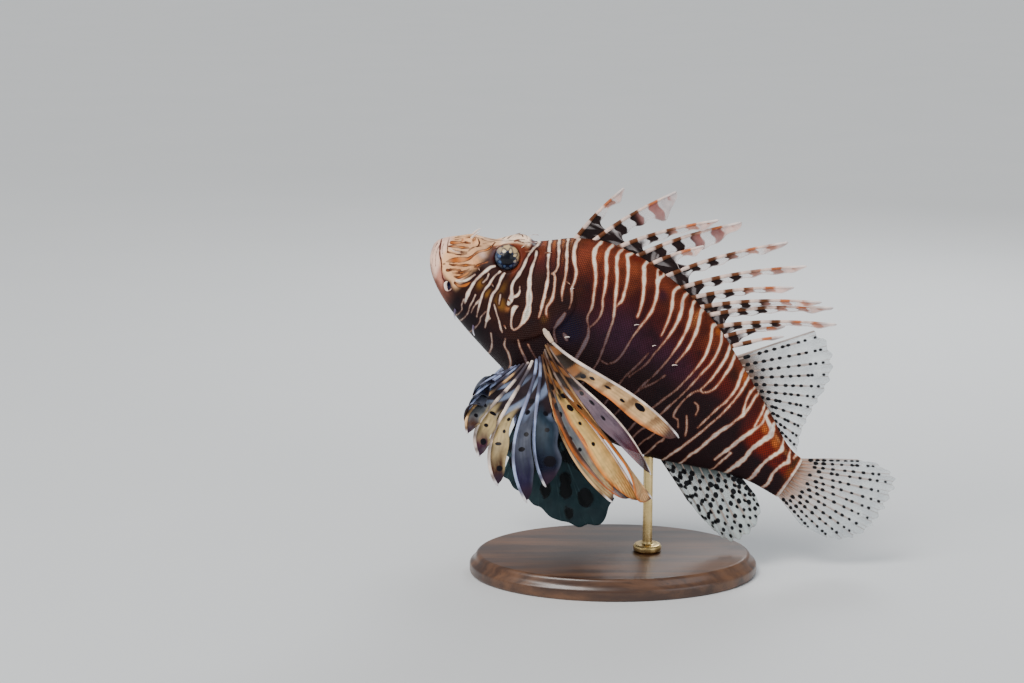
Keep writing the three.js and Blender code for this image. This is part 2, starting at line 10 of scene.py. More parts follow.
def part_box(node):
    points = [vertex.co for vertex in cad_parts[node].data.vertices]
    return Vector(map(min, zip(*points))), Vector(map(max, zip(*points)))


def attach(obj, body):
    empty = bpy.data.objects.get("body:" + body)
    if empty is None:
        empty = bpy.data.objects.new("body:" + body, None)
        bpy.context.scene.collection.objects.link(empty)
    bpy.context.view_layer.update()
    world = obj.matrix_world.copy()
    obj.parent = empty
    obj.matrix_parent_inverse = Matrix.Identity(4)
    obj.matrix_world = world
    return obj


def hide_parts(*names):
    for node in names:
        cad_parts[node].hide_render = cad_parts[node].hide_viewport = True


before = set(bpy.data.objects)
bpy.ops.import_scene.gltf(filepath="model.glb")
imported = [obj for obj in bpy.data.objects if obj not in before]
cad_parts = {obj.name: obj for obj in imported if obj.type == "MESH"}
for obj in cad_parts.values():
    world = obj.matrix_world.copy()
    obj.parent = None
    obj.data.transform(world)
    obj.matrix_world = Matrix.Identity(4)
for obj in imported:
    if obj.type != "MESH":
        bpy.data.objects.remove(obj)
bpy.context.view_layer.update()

# The fish is shaped in millimetres in a frame of its own: x from the snout to the tail, z towards the back,
# -y on its left side. It is then pitched up and set on the stand, as in the part's source.
STANDARD_LENGTH = 242
PITCH = math.radians(32.3)
SNOUT_AT = (-103.6, 0.0, 185.5)
BACK_ROUNDNESS = 1.12
BELLY_ROUNDNESS = 0.92
EYE = {"x": 37.5, "y": 9.3, "z": 21.8, "radius": 7.6}
TAU = 2 * math.pi


def to_row(points):
    x, y, z = points[:, 0], points[:, 1], points[:, 2]
    across = SNOUT_AT[0] + x * math.cos(PITCH) + z * math.sin(PITCH)
    up = SNOUT_AT[2] - x * math.sin(PITCH) + z * math.cos(PITCH)
    return np.stack([across, y, up], 1) / 1000


def mix(a, b, t):
    return a + (b - a) * t


def smooth(low, high, value):
    k = np.clip((value - low) / (high - low), 0, 1)
    return k * k * (3 - 2 * k)


def hump(value, width):
    return np.exp(-((value / width) ** 2))


def curve(rows):
    """A smooth line through [position, value] rows that never swings past them."""
    place = np.array([row[0] for row in rows], float)
    value = np.array([row[1] for row in rows], float)
    slope = np.diff(value) / np.diff(place)
    tangent = np.zeros(len(place))
    tangent[0], tangent[-1] = slope[0], slope[-1]
    for i in range(1, len(place) - 1):
        before, after = slope[i - 1], slope[i]
        tangent[i] = 0 if before * after <= 0 else 2 * before * after / (before + after)

    def at(x):
        x = np.asarray(x, float)
        i = np.clip(np.searchsorted(place, x, side="right") - 1, 0, len(place) - 2)
        width = place[i + 1] - place[i]
        k = np.clip((x - place[i]) / width, 0, 1)
        rise = k * k * (3 - 2 * k)
        lean = width * k * (1 - k) * (tangent[i] * (1 - k) - tangent[i + 1] * k)
        return value[i] + (value[i + 1] - value[i]) * rise + lean

    return at


# Outlines of the body, shared with the part's source
back_line = curve([[0, 4.5], [0.8, 7.6], [3.5, 11.2], [10, 16.6], [18, 21.4], [28, 25.6], [47, 36.2],
                   [67, 51], [84, 57.8], [103, 60], [128, 58], [155, 51.5], [184, 38.2], [210, 25],
                   [236, 12.2], [242, 11.5]])
belly_line = curve([[0, 4.5], [0.8, 1], [2.5, -3.5], [9, -11], [18, -17], [30, -22.5], [50, -29], [71, -34.5],
                    [95, -39], [120, -40], [145, -38], [169, -33], [190, -25.5], [210, -18.3], [228, -15],
                    [242, -14.6]])
half_width = curve([[0, 0.4], [0.8, 4.2], [3.5, 7.2], [10, 9.8], [20, 12.6], [32, 16], [50, 20], [70, 23],
                    [88, 23.6], [110, 22.3], [140, 18.3], [170, 13], [200, 8.2], [222, 5.6], [242, 3.6]])
widest_at = curve([[0, 4.5], [20, 3], [80, 2], [120, 4], [170, 3], [210, 2], [242, -1.5]])
gill_edge = curve([[-45, 40], [-30, 42], [-21, 50], [-14.7, 64], [-8, 71], [-1, 76], [9, 81.5], [18, 82.5],
                   [27, 77], [36, 69], [46, 61], [60, 56]])
mouth_line = curve([[0, 8.5], [2.8, 6.2], [6, 1], [9.5, -3], [14, -7.4], [22, -12.5]])


def flank_at(x, z):
    middle = widest_at(x)
    up = z > middle
    reach = np.where(up, back_line(x) - middle, middle - belly_line(x))
    power = np.where(up, BACK_ROUNDNESS, BELLY_ROUNDNESS)
    share = np.clip(np.abs(z - middle) / reach, 0, 1) ** (1 / power)
    return half_width(x) * np.cos(np.arcsin(share)) ** power


def body_point(x, angle):
    """The body's surface at a station and an angle in radians: 0 on the right, a quarter turn on top."""
    across, up = np.cos(angle), np.sin(angle)
    power = np.where(up > 0, BACK_ROUNDNESS, BELLY_ROUNDNESS)
    middle = widest_at(x)
    reach = np.where(up > 0, back_line(x) - middle, middle - belly_line(x))
    side = np.sign(across)
    y = half_width(x) * side * np.abs(across) ** power
    z = middle + reach * np.sign(up) * np.abs(up) ** power
    flank = smooth(2, 8, np.abs(y))
    from_eye = np.hypot(x - EYE["x"], z - EYE["z"])
    orbit = 2.8 * hump(np.maximum(0, from_eye - 8), 5.5)
    gill_cover = 1.3 * smooth(48, 70, x) * (1 - smooth(-0.4, 1.0, x - gill_edge(z)))
    lip = 0.9 * hump(z - mouth_line(x), 2.4) * (1 - smooth(20, 25, x))
    cheek_ridge = 1.2 * hump(z - mix(13, 2, (x - 20) / 40), 3) * smooth(16, 24, x) * (1 - smooth(52, 62, x))
    y = y + side * flank * (orbit + gill_cover + lip + cheek_ridge)
    brow = 6 * hump(x - EYE["x"] - 1, 9) * hump(np.abs(y) - 9.5, 4.4) * smooth(16, 26, z)
    nose = 1.6 * hump(x - 15, 5) * hump(np.abs(y) - 4, 3) * smooth(12, 18, z)
    return np.stack([x + 0 * y, y, z + brow + nose], -1)


def on_flank(x, degrees, side):
    """A surface point from its station and its angle above (or below) the middle of the side."""
    degrees = np.asarray(degrees, float)
    angle = np.radians(np.where(np.asarray(side) < 0, 180 - degrees, degrees))
    return body_point(np.asarray(x, float), angle)


# Sheets: every curved surface starts as a flat grid whose points are then carried to their place
def lay_sheet(bm, columns, rows, surface):
    grid = bmesh.ops.create_grid(bm, x_segments=columns, y_segments=rows, size=0.5)["verts"]
    u = np.array([vert.co.x for vert in grid]) + 0.5
    v = np.array([vert.co.y for vert in grid]) + 0.5
    where, marks = surface(u, v)
    for vert, point in zip(grid, to_row(where)):
        vert.co = point
    for name, values in marks.items():
        values = np.asarray(values, float)
        if name == "stiffness":
            layer = bm.verts.layers.deform.verify()
            for vert, value in zip(grid, np.broadcast_to(values, u.shape)):
                vert[layer][0] = float(value)
        elif values.ndim == 2:
            layer = bm.verts.layers.float_color.get(name) or bm.verts.layers.float_color.new(name)
            for vert, value in zip(grid, values):
                vert[layer] = (*value, 1.0)
        else:
            layer = bm.verts.layers.float.get(name) or bm.verts.layers.float.new(name)
            for vert, value in zip(grid, np.broadcast_to(values, u.shape)):
                vert[layer] = float(value)
    return grid


def new_bmesh(colours, numbers):
    bm = bmesh.new()
    bm.verts.layers.deform.verify()
    for name in colours:
        bm.verts.layers.float_color.new(name)
    for name in numbers:
        bm.verts.layers.float.new(name)
    return bm


def finish_piece(name, bm, material, replaced, thickness=None, thinnest=None):
    """A piece of the part. A thin sheet gets a wall, thinnest where it isn't stiff."""
    mesh = bpy.data.meshes.new(name)
    bm.to_mesh(mesh)
    bm.free()
    for face in mesh.polygons:
        face.use_smooth = True
    piece = bpy.data.objects.new(name, mesh)
    bpy.context.scene.collection.objects.link(piece)
    piece.data.materials.append(material)
    if thickness:
        piece.vertex_groups.new(name="stiffness")
        wall = piece.modifiers.new("wall", "SOLIDIFY")
        wall.thickness = thickness / 1000
        wall.offset = 0
        wall.vertex_group = "stiffness"
        wall.thickness_vertex_group = thinnest / thickness
    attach(piece, "root")
    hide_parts(*replaced)
    return piece


# Painted lines and blotches: each is a smooth stroke of points with a width and a strength at either end
STROKE_STEP = 0.35
NEAREST_SPOTS = 8
CLEAR_OF_STROKES = 30.0


def smooth_stroke(points):
    points = np.array(points, float)
    padded = np.vstack([2 * points[0] - points[1], points, 2 * points[-1] - points[-2]])
    out = []
    for i in range(1, len(padded) - 2):
        before, here, there, after = padded[i - 1:i + 3]
        count = max(2, int(np.linalg.norm(there - here) / STROKE_STEP))
        squared = 2 * before - 5 * here + 4 * there - after
        cubed = 3 * here - before - 3 * there + after
        for t in np.linspace(0, 1, count, endpoint=False):
            out.append(0.5 * (2 * here + (there - before) * t + squared * t ** 2 + cubed * t ** 3))
    out.append(padded[-2])
    return np.array(out)


class Strokes:
    """Strokes laid on both flanks. A point reads how far it lies outside them, and their tone there."""

    def __init__(self, strokes, tone_of):
        spots, widths, tones = [], [], []
        for stroke in strokes:
            x, degrees, width = stroke[-1]
            if degrees <= -42:
                stroke = [*stroke, [x - 1.5, -90, width * 0.9]]
            path = smooth_stroke(stroke)
            uneven = 1 + 0.10 * np.sin(0.17 * np.arange(len(path)) + stroke[0][0])
            for side in (-1, 1):
                drift = 0 if side < 0 else 1.3 * np.sin(0.13 * path[:, 0] + 1) * (1 - np.abs(path[:, 1]) / 90)
                spots.append(on_flank(path[:, 0] + drift, path[:, 1], side))
                widths.append(path[:, 2] * uneven)
                tones.append(tone_of(path[:, 0], path[:, 1]))
        self.spots = np.vstack(spots)
        self.widths = np.concatenate(widths)
        self.tones = np.concatenate(tones)
        self.tree = KDTree(len(self.spots))
        for i, spot in enumerate(self.spots):
            self.tree.insert(spot, i)
        self.tree.balance()

    def read(self, points):
        edge = np.full(len(points), CLEAR_OF_STROKES)
        tone = np.zeros(len(points))
        for n, point in enumerate(points):
            for _, i, away in self.tree.find_n(point, NEAREST_SPOTS):
                value = away - self.widths[i] / 2
                if value < edge[n]:
                    edge[n] = value
                    tone[n] = self.tones[i]
        return edge, tone


def white_tone(x, degrees):
    """Bright on the back, the head and the tail's root, sinking to a dim grey low on the flank."""
    flank = mix(0.22 + 0.36 * smooth(135, 180, x), 1.0, smooth(6, 50, degrees))
    cheek = mix(0.55, 1.0, smooth(-34, -6, degrees)) * (1 - smooth(71, 77, x))
    root = mix(0.36, 1.0, smooth(-12, 34, degrees)) * smooth(199, 206, x)
    return np.maximum(flank, np.maximum(cheek, root))


# White lines of the left side, from the eye back. Each point is a station, the degrees above the middle of
# the side, and the line's width there
WHITE_LINES = [
    # low on the cheek
    [[33.4, -14, 0.7], [34, -22, 0.8], [34.4, -32, 0.8], [35.6, -46, 0.8]],
    [[47, -24, 0.8], [46.6, -31, 0.8], [47.6, -38, 0.7]],
    [[29.6, -30, 0.9], [30.4, -40, 0.7], [32, -50, 0.6]],
    [[43, -22, 0.8], [42.6, -32, 0.8], [43.6, -42, 0.7]],
    # nape and gill cover
    [[48.5, 90, 2.2], [48.6, 78, 1.6], [48.2, 67, 1.4], [46.9, 58, 1.2], [46.6, 50, 1.4], [47.1, 40, 1.5],
     [47.1, 30, 1.8], [46.9, 22, 1.5], [47.9, 15, 1.5], [49.6, 10, 2.2], [50.6, 5, 2.8], [51, -1, 2.2]],
    [[50.6, 7, 1.5], [52.4, 10.5, 1.5], [52.6, 15, 1.2], [51.2, 19, 0.7]],
    [[49.4, 58, 1.2], [50.6, 50, 1.3], [51.5, 40, 1.5], [53.2, 30, 2.0], [55, 24, 2.4], [57, 18, 2.8],
     [59.4, 12, 3.2], [61.4, 5, 3.6], [62.6, -1, 3.8], [62.8, -6, 2.6]],
    [[62.8, -5, 1.6], [62.4, -12, 1.2], [60.9, -17, 1.0], [59, -16, 1.0], [57, -11, 1.2], [55.4, -5, 1.8],
     [54.8, -0.5, 2.4], [55.8, 2.5, 1.2]],
    [[53.6, 90, 1.9], [53.6, 80, 1.7], [54, 70, 1.6], [55.2, 60, 1.8], [56.9, 50, 1.5], [58.5, 43, 1.2],
     [60.5, 37, 1.1], [62.2, 31, 1.4], [64, 24, 1.8], [65.2, 19, 1.6], [66.4, 14, 1.6], [67.7, 9, 1.3],
     [68.6, 4, 0.8]],
    [[57.4, 90, 1.8], [57.6, 80, 1.7], [58.2, 70, 1.7], [59.8, 60, 1.6], [61.7, 50, 1.5], [62.9, 45, 1.2],
     [63.3, 40, 1.0], [62.4, 37, 0.8]],
    [[62.2, 37.5, 0.8], [64.2, 36, 1.0], [66.5, 30, 1.2], [68.4, 24, 1.4], [69.6, 19, 1.5],
     [69.4, 13.5, 1.3], [70.8, 9.5, 1.2], [72.2, 8, 0.8]],
    [[61.2, 90, 1.5], [61.5, 80, 1.5], [62.1, 70, 1.5], [63.6, 60, 1.9], [65.9, 50, 1.7], [67.9, 43, 1.4],
     [69.6, 36.5, 1.3], [70.8, 31.5, 1.4], [72.4, 26, 1.1], [74.6, 21.5, 0.8]],
    [[66.4, 90, 2.4], [66, 80, 2.2], [65.9, 70, 2.0], [67, 60, 2.2], [69.9, 50, 1.9], [72.6, 44.5, 1.5],
     [74.7, 38, 1.4], [75.7, 31.5, 1.6], [77.3, 28, 1.1], [79, 24, 0.9], [80.2, 19, 0.8]],
    [[79.6, 15, 1.6], [79.5, 11, 2.4], [79.2, 7, 1.8], [79.6, 2, 1.3], [81.6, -2, 1.1], [84.2, -4.5, 0.9]],
    [[85.2, 3, 1.4], [86.8, 1.8, 2.4], [88.6, 0, 1.6]],
    # trunk
    [[77.9, 90, 1.7], [77.4, 80, 2.1], [76.6, 72, 2.3], [76.5, 66, 2.5], [78, 58, 2.4], [80.8, 51, 2.1],
     [84, 44, 1.7], [86.2, 38, 1.4], [88.3, 32, 1.2], [90.6, 26, 1.2], [91.2, 20, 1.1], [92.6, 17, 0.9],
     [95, 14, 0.9], [97.3, 9, 1.8], [98.2, 0, 2.1], [98.6, -10, 1.8], [99, -30, 1.4], [98, -50, 1.2]],
    [[84.2, 90, 1.7], [83.8, 80, 1.8], [82.8, 71, 2.2], [84.1, 61, 2.2], [87.8, 50.5, 1.8], [90, 44, 1.5],
     [91.6, 39.5, 1.3], [93.4, 33, 1.2], [95.9, 28, 1.0], [97.1, 23, 1.0], [96.6, 18, 0.9],
     [95.4, 14.5, 0.8]],
    [[90.6, 90, 1.3], [89.5, 80, 1.5], [88.7, 72, 1.9], [89.4, 65, 2.0], [91, 58.5, 1.9], [94.4, 50, 1.8],
     [97.7, 41, 1.7], [100.3, 34.5, 1.5], [102.5, 29.5, 1.3], [104.6, 24, 1.3], [105.8, 18, 1.2],
     [107.2, 12, 1.2], [108.6, 4.5, 1.1], [109.6, -2, 1.0], [109.9, -9, 0.9], [109, -30, 1.0],
     [107, -50, 1.0]],
    [[96.2, 90, 1.3], [95.1, 82, 2.0], [93.6, 75, 2.4], [95.1, 68.5, 2.1], [97.8, 59.5, 1.9],
     [100.5, 50, 1.6], [102, 43, 1.4], [103, 38, 1.4], [102.2, 34, 1.2]],
    [[105.7, 90, 1.9], [105.1, 81, 2.1], [104.7, 73, 2.3], [106.2, 66, 2.9], [108.3, 59, 2.3],
     [111, 51, 1.9], [112.9, 45, 1.6], [114.4, 39, 1.3], [115.2, 34, 0.9]],
    [[113.2, 90, 1.3], [112.8, 80, 1.4], [113.6, 74, 1.6], [114.8, 69, 2.0]],
    [[116.8, 90, 1.3], [116.9, 80, 1.5], [115.8, 73, 2.2], [115.2, 68, 3.0], [116.5, 62, 2.0],
     [118.1, 56.5, 1.9], [119.5, 50, 1.7], [120.3, 44, 1.6], [120.3, 38, 1.4], [119.4, 30, 1.1],
     [118.7, 20, 0.9], [119, 11, 1.0], [118.2, 4, 1.0], [116, -0.5, 0.9], [113, -1.8, 0.8],
     [110.6, -1, 0.8]],
    [[129, 90, 2.0], [128, 82, 2.0], [126.8, 75, 1.9], [126.3, 68, 1.8], [127.8, 60.5, 2.0],
     [129.6, 53.5, 1.8], [131, 46, 1.3], [131.8, 40, 1.1], [132.3, 33, 0.8]],
    [[131.4, 19, 0.8], [129.8, 9.5, 1.0], [128.3, 2, 1.0], [127, -6, 1.0], [126.6, -26, 1.0],
     [125, -48, 1.0]],
    [[134.2, 90, 2.2], [133.7, 82, 2.0], [133, 74, 2.0], [133.3, 66.5, 2.1], [134.9, 59, 2.3],
     [135.9, 52, 2.1], [136.4, 46, 1.8], [136.4, 41, 1.4], [136, 34, 1.0], [135.2, 27, 0.9],
     [134.2, 19.5, 0.9], [133.8, 14, 0.9], [132.6, 9, 0.9], [131, 4.5, 0.8], [129.2, -2, 0.8]],
    [[140.2, 90, 1.7], [139.7, 82, 1.7], [139.4, 74, 1.8], [140.2, 67, 2.4], [141.4, 60, 2.5],
     [142.6, 53, 2.1], [143.3, 46, 1.5], [143.6, 38, 1.3], [143.3, 30, 1.0], [143, 24, 0.9],
     [142, 16.5, 0.9], [140.9, 9, 0.9], [139.2, 2, 0.9], [137.8, -6, 0.9], [136, -22, 1.0],
     [133.6, -48, 1.0]],
    [[146.5, 90, 2.2], [146.2, 82, 2.2], [145.7, 74, 2.0], [146.8, 65, 2.0], [147.8, 59, 2.4],
     [148.5, 53, 2.2], [149.1, 46, 1.7], [149.4, 38, 1.3], [148.7, 31, 1.0], [147.6, 24, 0.8]],
    [[146.2, 13, 0.9], [144.2, 7, 0.9], [141.8, 1, 0.9], [139.6, -3, 0.9], [138, -7, 0.9]],
    [[157.7, 90, 2.0], [156.9, 82, 2.1], [155.8, 73, 2.3], [156.6, 66, 2.0], [158.4, 58, 1.7],
     [159.6, 50, 1.7], [160.2, 43, 1.7], [160, 36, 1.3], [159.2, 28, 1.0], [157.9, 19, 1.1],
     [156.4, 10, 1.1], [154.4, 2, 1.1], [152.4, -5, 1.1], [149.4, -18, 1.1], [147.6, -29, 1.1],
     [146.8, -42, 1.2]],
    [[162.5, 90, 2.6], [162.7, 81, 2.3], [163.7, 73, 2.0], [164.8, 65, 1.7], [165.4, 57, 1.6],
     [165.6, 49, 1.6], [165.3, 41, 1.3], [164.1, 33, 1.0], [162.9, 24, 0.9], [161.7, 15, 0.9],
     [160.2, 6, 0.9], [158.9, -1, 0.9], [157.7, -6.5, 1.2], [155.6, -20, 1.0], [154, -29, 1.2],
     [151.6, -42, 1.1]],
    [[170.4, 90, 1.7], [170.6, 79, 2.0], [171, 69, 2.0], [171.4, 59, 1.9], [171.2, 50, 1.7],
     [170.9, 42, 1.4], [170.3, 33, 1.1], [169.3, 26, 0.9], [168.2, 21, 0.9]],
    [[175.7, 90, 1.6], [175.7, 78, 1.7], [175.9, 68, 1.9], [176.4, 58, 2.0], [176, 48, 1.5],
     [175.6, 38, 1.1], [174.9, 30, 1.0], [173.3, 24.5, 0.9], [170.8, 20.5, 1.0], [168.2, 19.5, 0.9],
     [165.9, 16, 0.9], [164.3, 11, 0.9], [163.1, 4, 1.0], [162.7, -4, 1.1], [163.6, -10, 1.0],
     [166.8, -11, 0.8], [169.5, -17, 0.8]],
    [[169.4, 9.2, 0.8], [171.8, 8.6, 0.9], [173.4, 5, 0.9], [173.9, -0.5, 0.8]],
    [[169.6, -4, 0.8], [172, -9, 0.9], [174.2, -15, 1.0], [175.8, -22, 0.8]],
    [[166, -26, 1.2], [166.4, -36, 1.1], [164.8, -46, 1.1]],
    [[160.4, -30, 1.2], [159, -40, 1.1], [157.4, -50, 1.0]],
    # root of the tail
    [[184.7, 90, 1.9], [184.4, 78, 1.9], [184.3, 68, 1.9], [185, 58, 1.8], [185.7, 49, 1.7],
     [185.7, 42, 1.3], [185.2, 34, 1.2], [184.4, 26, 1.1], [183.1, 20.5, 1.1], [182, 13, 1.1],
     [180.9, 5, 1.0], [179.8, -3, 1.0], [179.1, -9, 0.8]],
    [[189.5, 90, 1.9], [189.5, 77, 1.9], [189.3, 66, 1.8], [189.3, 56, 1.6], [189, 46, 1.3],
     [188.5, 36, 1.1], [187.6, 26, 1.0], [186.6, 17, 1.1], [185.3, 8, 1.0], [183.9, -1, 1.1],
     [182.4, -10, 1.2], [180.8, -19, 1.3], [179.1, -29, 1.5], [177.7, -39, 1.7], [176.2, -48, 1.7],
     [175.2, -58, 1.5]],
    [[196, 90, 1.4], [195.4, 76, 1.5], [194.6, 64, 1.6], [194.3, 54, 1.5], [194.7, 46, 1.3],
     [195.9, 38, 1.4], [197, 32, 1.6]],
    [[199.3, 90, 1.4], [199, 76, 1.6], [198.4, 66, 1.6], [198.2, 56, 1.4], [198.2, 46, 1.3], [198, 38, 1.5],
     [197.5, 31, 1.8], [196.5, 25, 1.5], [195.3, 19, 1.3], [194.5, 13, 1.6], [192.6, 5, 2.2],
     [191.1, -2, 2.4], [189.8, -9, 2.3], [188.7, -17, 2.1], [187.6, -27, 2.0], [186.3, -37, 1.9],
     [184.8, -47, 1.7]],
    [[205.9, 88, 2.0], [206, 72, 1.8], [206.3, 62, 1.4], [206.5, 52, 1.3], [206.6, 42, 1.3],
     [206.8, 32, 1.4]],
    [[209.6, 84, 2.6], [209.2, 68, 2.4], [209.4, 56, 1.8], [209.6, 46, 1.4], [209, 37, 1.4],
     [207.8, 29, 1.8], [206.4, 20, 2.3], [205, 12, 2.5], [203.8, 4, 2.3], [202.8, -4, 2.3],
     [201.8, -12, 2.3], [200.6, -20, 2.3], [199.4, -29, 1.6], [198.4, -40, 1.4]],
    [[203.6, -20, 1.4], [203, -30, 1.3], [202, -42, 1.2]],
    [[209.6, 59, 2.2], [212.6, 57, 2.6], [216, 55, 3.0]],
    [[216.4, 82, 1.6], [216.4, 64, 2.4], [217.2, 53, 3.8], [217.6, 44, 3.6], [216.9, 36, 3.3],
     [215.8, 28, 3.0], [214.8, 20, 2.8], [213.7, 12, 2.6], [212.8, 4, 2.5], [212.4, -5, 2.6],
     [212.3, -15, 2.6], [211.6, -25, 2.9], [210.9, -35, 2.9], [209.8, -46, 2.4]],
    [[226, 82, 1.2], [226.6, 64, 1.4], [227.4, 53, 2.3], [228, 46, 2.9], [227.4, 38, 2.3], [226.6, 29, 2.2],
     [225.6, 20, 2.2], [224.6, 10, 2.2], [223.7, 1, 2.0], [223, -9, 1.9], [222.6, -20, 2.2],
     [222.6, -34, 2.4], [222.5, -48, 2.0]],
    [[232.4, 80, 1.0], [233, 62, 1.1], [233.6, 51, 1.4], [234.5, 42, 2.0], [234.9, 34, 2.3],
     [233.8, 26, 2.0], [232.8, 17, 1.9], [232, 7, 1.7], [231.4, -3, 1.6], [231.1, -13, 1.5],
     [231.6, -24, 2.3], [232, -36, 1.9], [232, -50, 1.6]],
    [[237.6, 90, 2.0], [237, 72, 1.6], [236.6, 56, 0.9]],
    [[241.6, 90, 2.2], [241.4, 40, 2.0], [241.2, 0, 2.0], [241.4, -40, 2.2], [241.6, -90, 2.2]],
    # cheek
    [[34, 31, 1.2], [32.4, 28, 1.8], [31.4, 23, 1.8], [30.6, 16, 1.6], [30, 9, 1.4], [29.4, 2, 1.4],
     [29.1, -5, 1.6], [29.4, -12, 1.8], [29.7, -20, 2.1], [30.4, -27, 1.6], [31.2, -34, 0.9]],
    [[38, 30.5, 1.2], [37.4, 25, 1.1], [36.6, 20, 0.9], [36.3, 13, 1.0], [36.6, 6, 1.2], [36.3, 0, 1.3],
     [36.2, -6, 1.1], [36.8, -11, 1.2], [37.5, -16, 1.4], [38.4, -22, 1.1], [39.4, -28, 0.9],
     [40.6, -35, 0.6]],
    [[36.8, -13, 0.8], [36.4, -22, 0.8], [36.3, -29, 0.7], [36.9, -37, 0.6]],
    [[40.6, 31, 1.1], [40.1, 25, 1.4], [40.2, 19, 1.5], [40.8, 13, 1.5], [41.2, 7, 1.5], [41.1, 2, 1.7],
     [41, -2, 1.5], [41.5, -6, 1.4], [42.4, -11, 1.4], [43.4, -16, 1.3], [44.4, -21, 1.5], [45.7, -25, 2.4],
     [46.2, -30, 1.4]],
    [[44.8, -9.5, 0.9], [48, -14.5, 0.9], [50.6, -18, 0.9], [52.6, -21, 0.9], [54.6, -24.5, 1.4],
     [56.6, -27, 1.0]],
    [[44.6, 3, 0.7], [45.6, -2, 0.8], [46.8, -6, 0.6]],
    [[33.2, 18, 0.7], [33.8, 11, 0.8], [33.2, 3, 0.6]],
    # muzzle
    [[20.4, -17.5, 1.2], [23, -13, 1.4], [25, -7, 1.4], [26.4, -1, 1.2], [27.2, 6, 1.0]],
    [[8.4, 28, 1.2], [11, 25, 1.1], [14, 28, 0.8]],
    # throat and breast, under the gill cover
    [[72, -20, 0.9], [77, -24, 0.9], [82, -27, 0.9], [88, -30, 0.8]],
    [[66, -22, 1.0], [70, -28, 1.1], [75, -33, 1.3], [79, -40, 1.6], [82, -55, 1.4], [83, -75, 1.2]],
    [[60, -30, 1.0], [62, -38, 1.1], [66, -42, 1.2], [70, -50, 1.3], [72, -62, 1.2], [73, -80, 1.2]],
    [[52, -38, 0.9], [55, -46, 1.0], [57, -56, 1.0], [58, -75, 1.0]],
    [[90, -34, 1.0], [92, -46, 1.2], [92, -60, 1.2], [91, -80, 1.0]],
]

# Orange-brown lines on the pale muzzle, lips and brow, written the same way
BROWN_LINES = [
    [[7.5, 47, 2.2], [10, 49, 2.2], [13, 51, 1.7], [16.2, 51.5, 1.2]],
    [[6.8, 32, 0.9], [10, 36.5, 1.6], [13.3, 38.8, 1.8], [16.8, 41.6, 1.1]],
    [[8.3, 15.5, 1.1], [11, 19, 1.1], [13.5, 21, 0.9], [15.6, 25, 1.2], [17.4, 30, 0.9]],
    [[10.6, -5.5, 0.9], [12.3, 1, 2.2], [14, 8, 3.4], [16.6, 15.5, 3.2], [19.4, 22, 2.4], [20.8, 30, 1.5],
     [21.8, 38, 1.5], [23.6, 45, 1.7], [26, 51, 1.6], [27, 58, 1.3], [27.9, 69, 1.1]],
    [[14.6, -11, 1.2], [16.6, -6, 1.5], [19.2, -2.5, 1.2]],
    [[18.4, -15, 1.1], [20.8, -11, 1.6], [22.7, -3.5, 1.9], [23.7, 3, 1.6], [24.6, 9, 0.9]],
    [[20.6, -22, 1.4], [23.4, -20, 2.2], [25.6, -14, 2.4], [27, -8, 2.0], [27.9, -3, 1.0]],
    [[25, 15.5, 0.9], [26.6, 24, 1.7], [28.6, 30, 1.3], [30.4, 35, 1.0]], [[17, 59, 1.8], [17.3, 63, 1.6]],
    [[9, 27, 0.6], [12, 27.5, 1.0], [15, 29.5, 1.1], [17.2, 33, 0.7]],
    [[12.6, -5.5, 0.7], [15, -2, 1.1], [17.6, 4, 1.4], [20, 10, 1.5], [22.4, 15, 1.2], [24.6, 19, 0.7]],
    [[16.4, -13, 0.6], [18.6, -8.5, 1.0], [20.8, -3, 1.2], [22.4, 4, 1.0], [23.2, 10, 0.6]],
    [[17.6, 36, 0.6], [18.4, 43, 0.9], [19.6, 48, 1.0], [22.4, 54, 0.7]],
    [[13.4, -16, 1.6], [15, -12, 1.0]], [[9.8, -14, 1.3], [10.2, -12, 1.2]],
    [[19, 66, 0.8], [20.6, 58, 1.0], [20.8, 50, 0.8]],
    [[5.2, 84, 0.5], [5.5, 60, 0.5], [6, 42, 0.5], [6.8, 30, 0.5], [8, 18, 0.5]],
    [[4.2, 40, 0.4], [4.7, 20, 0.4], [5.6, 8, 0.4], [6.4, 0, 0.4]],
    [[2.6, 46, 0.4], [2.7, 10, 0.4], [4, -18, 0.4], [7, -36, 0.4]],
    [[1.2, 40, 0.4], [1.3, 0, 0.4], [2.4, -30, 0.4], [5, -50, 0.4]],
    [[8, 72, 0.6], [12, 70, 0.6], [16, 69, 0.6], [20, 72, 0.5], [22, 78, 0.5]],
    [[8.2, 60, 0.5], [12, 62, 0.6], [15, 63, 0.5]],
    [[31.2, 72, 0.8], [33, 65, 0.9], [36.6, 61.5, 0.9], [41, 61.5, 0.9], [45, 67, 0.8]],
    [[33.6, 73, 0.8], [35, 67.5, 0.8], [38, 65, 0.8], [41, 67, 0.8], [42.8, 73, 0.8]],
    [[35.8, 72, 0.7], [37, 69, 0.7], [39.2, 69, 0.7], [40.4, 72, 0.7]],
    [[22, 82, 0.8], [28, 80, 0.9], [31, 84, 0.8]], [[34, 80, 0.8], [38, 78, 0.8], [42, 80, 0.8]],
    [[21, 71, 0.7], [24, 70, 0.8], [27.6, 73, 0.7]], [[9, 80, 0.7], [13, 78, 0.8], [17, 80, 0.7]],
    [[22.6, 60, 0.6], [24, 64, 0.7], [26.2, 68, 0.6]],
]
# The closed mouth, from the middle of the lips to its corner. Its groove is cut into the skin and also
# painted dark brown as painted shade
MOUTH_CREASE = [[2.2, 88, 0.9], [2.3, 60, 0.9], [3, 30, 0.8], [3.8, 14, 0.7], [5, -2.5, 0.8],
                [7.6, -12.5, 0.8], [9.7, -20, 0.8], [11.8, -29, 0.7], [14, -35, 0.8], [17, -36, 1.2]]
GROOVE_DEPTH = 1.15
MOUTH_CORNER = (17.9, -8.6)
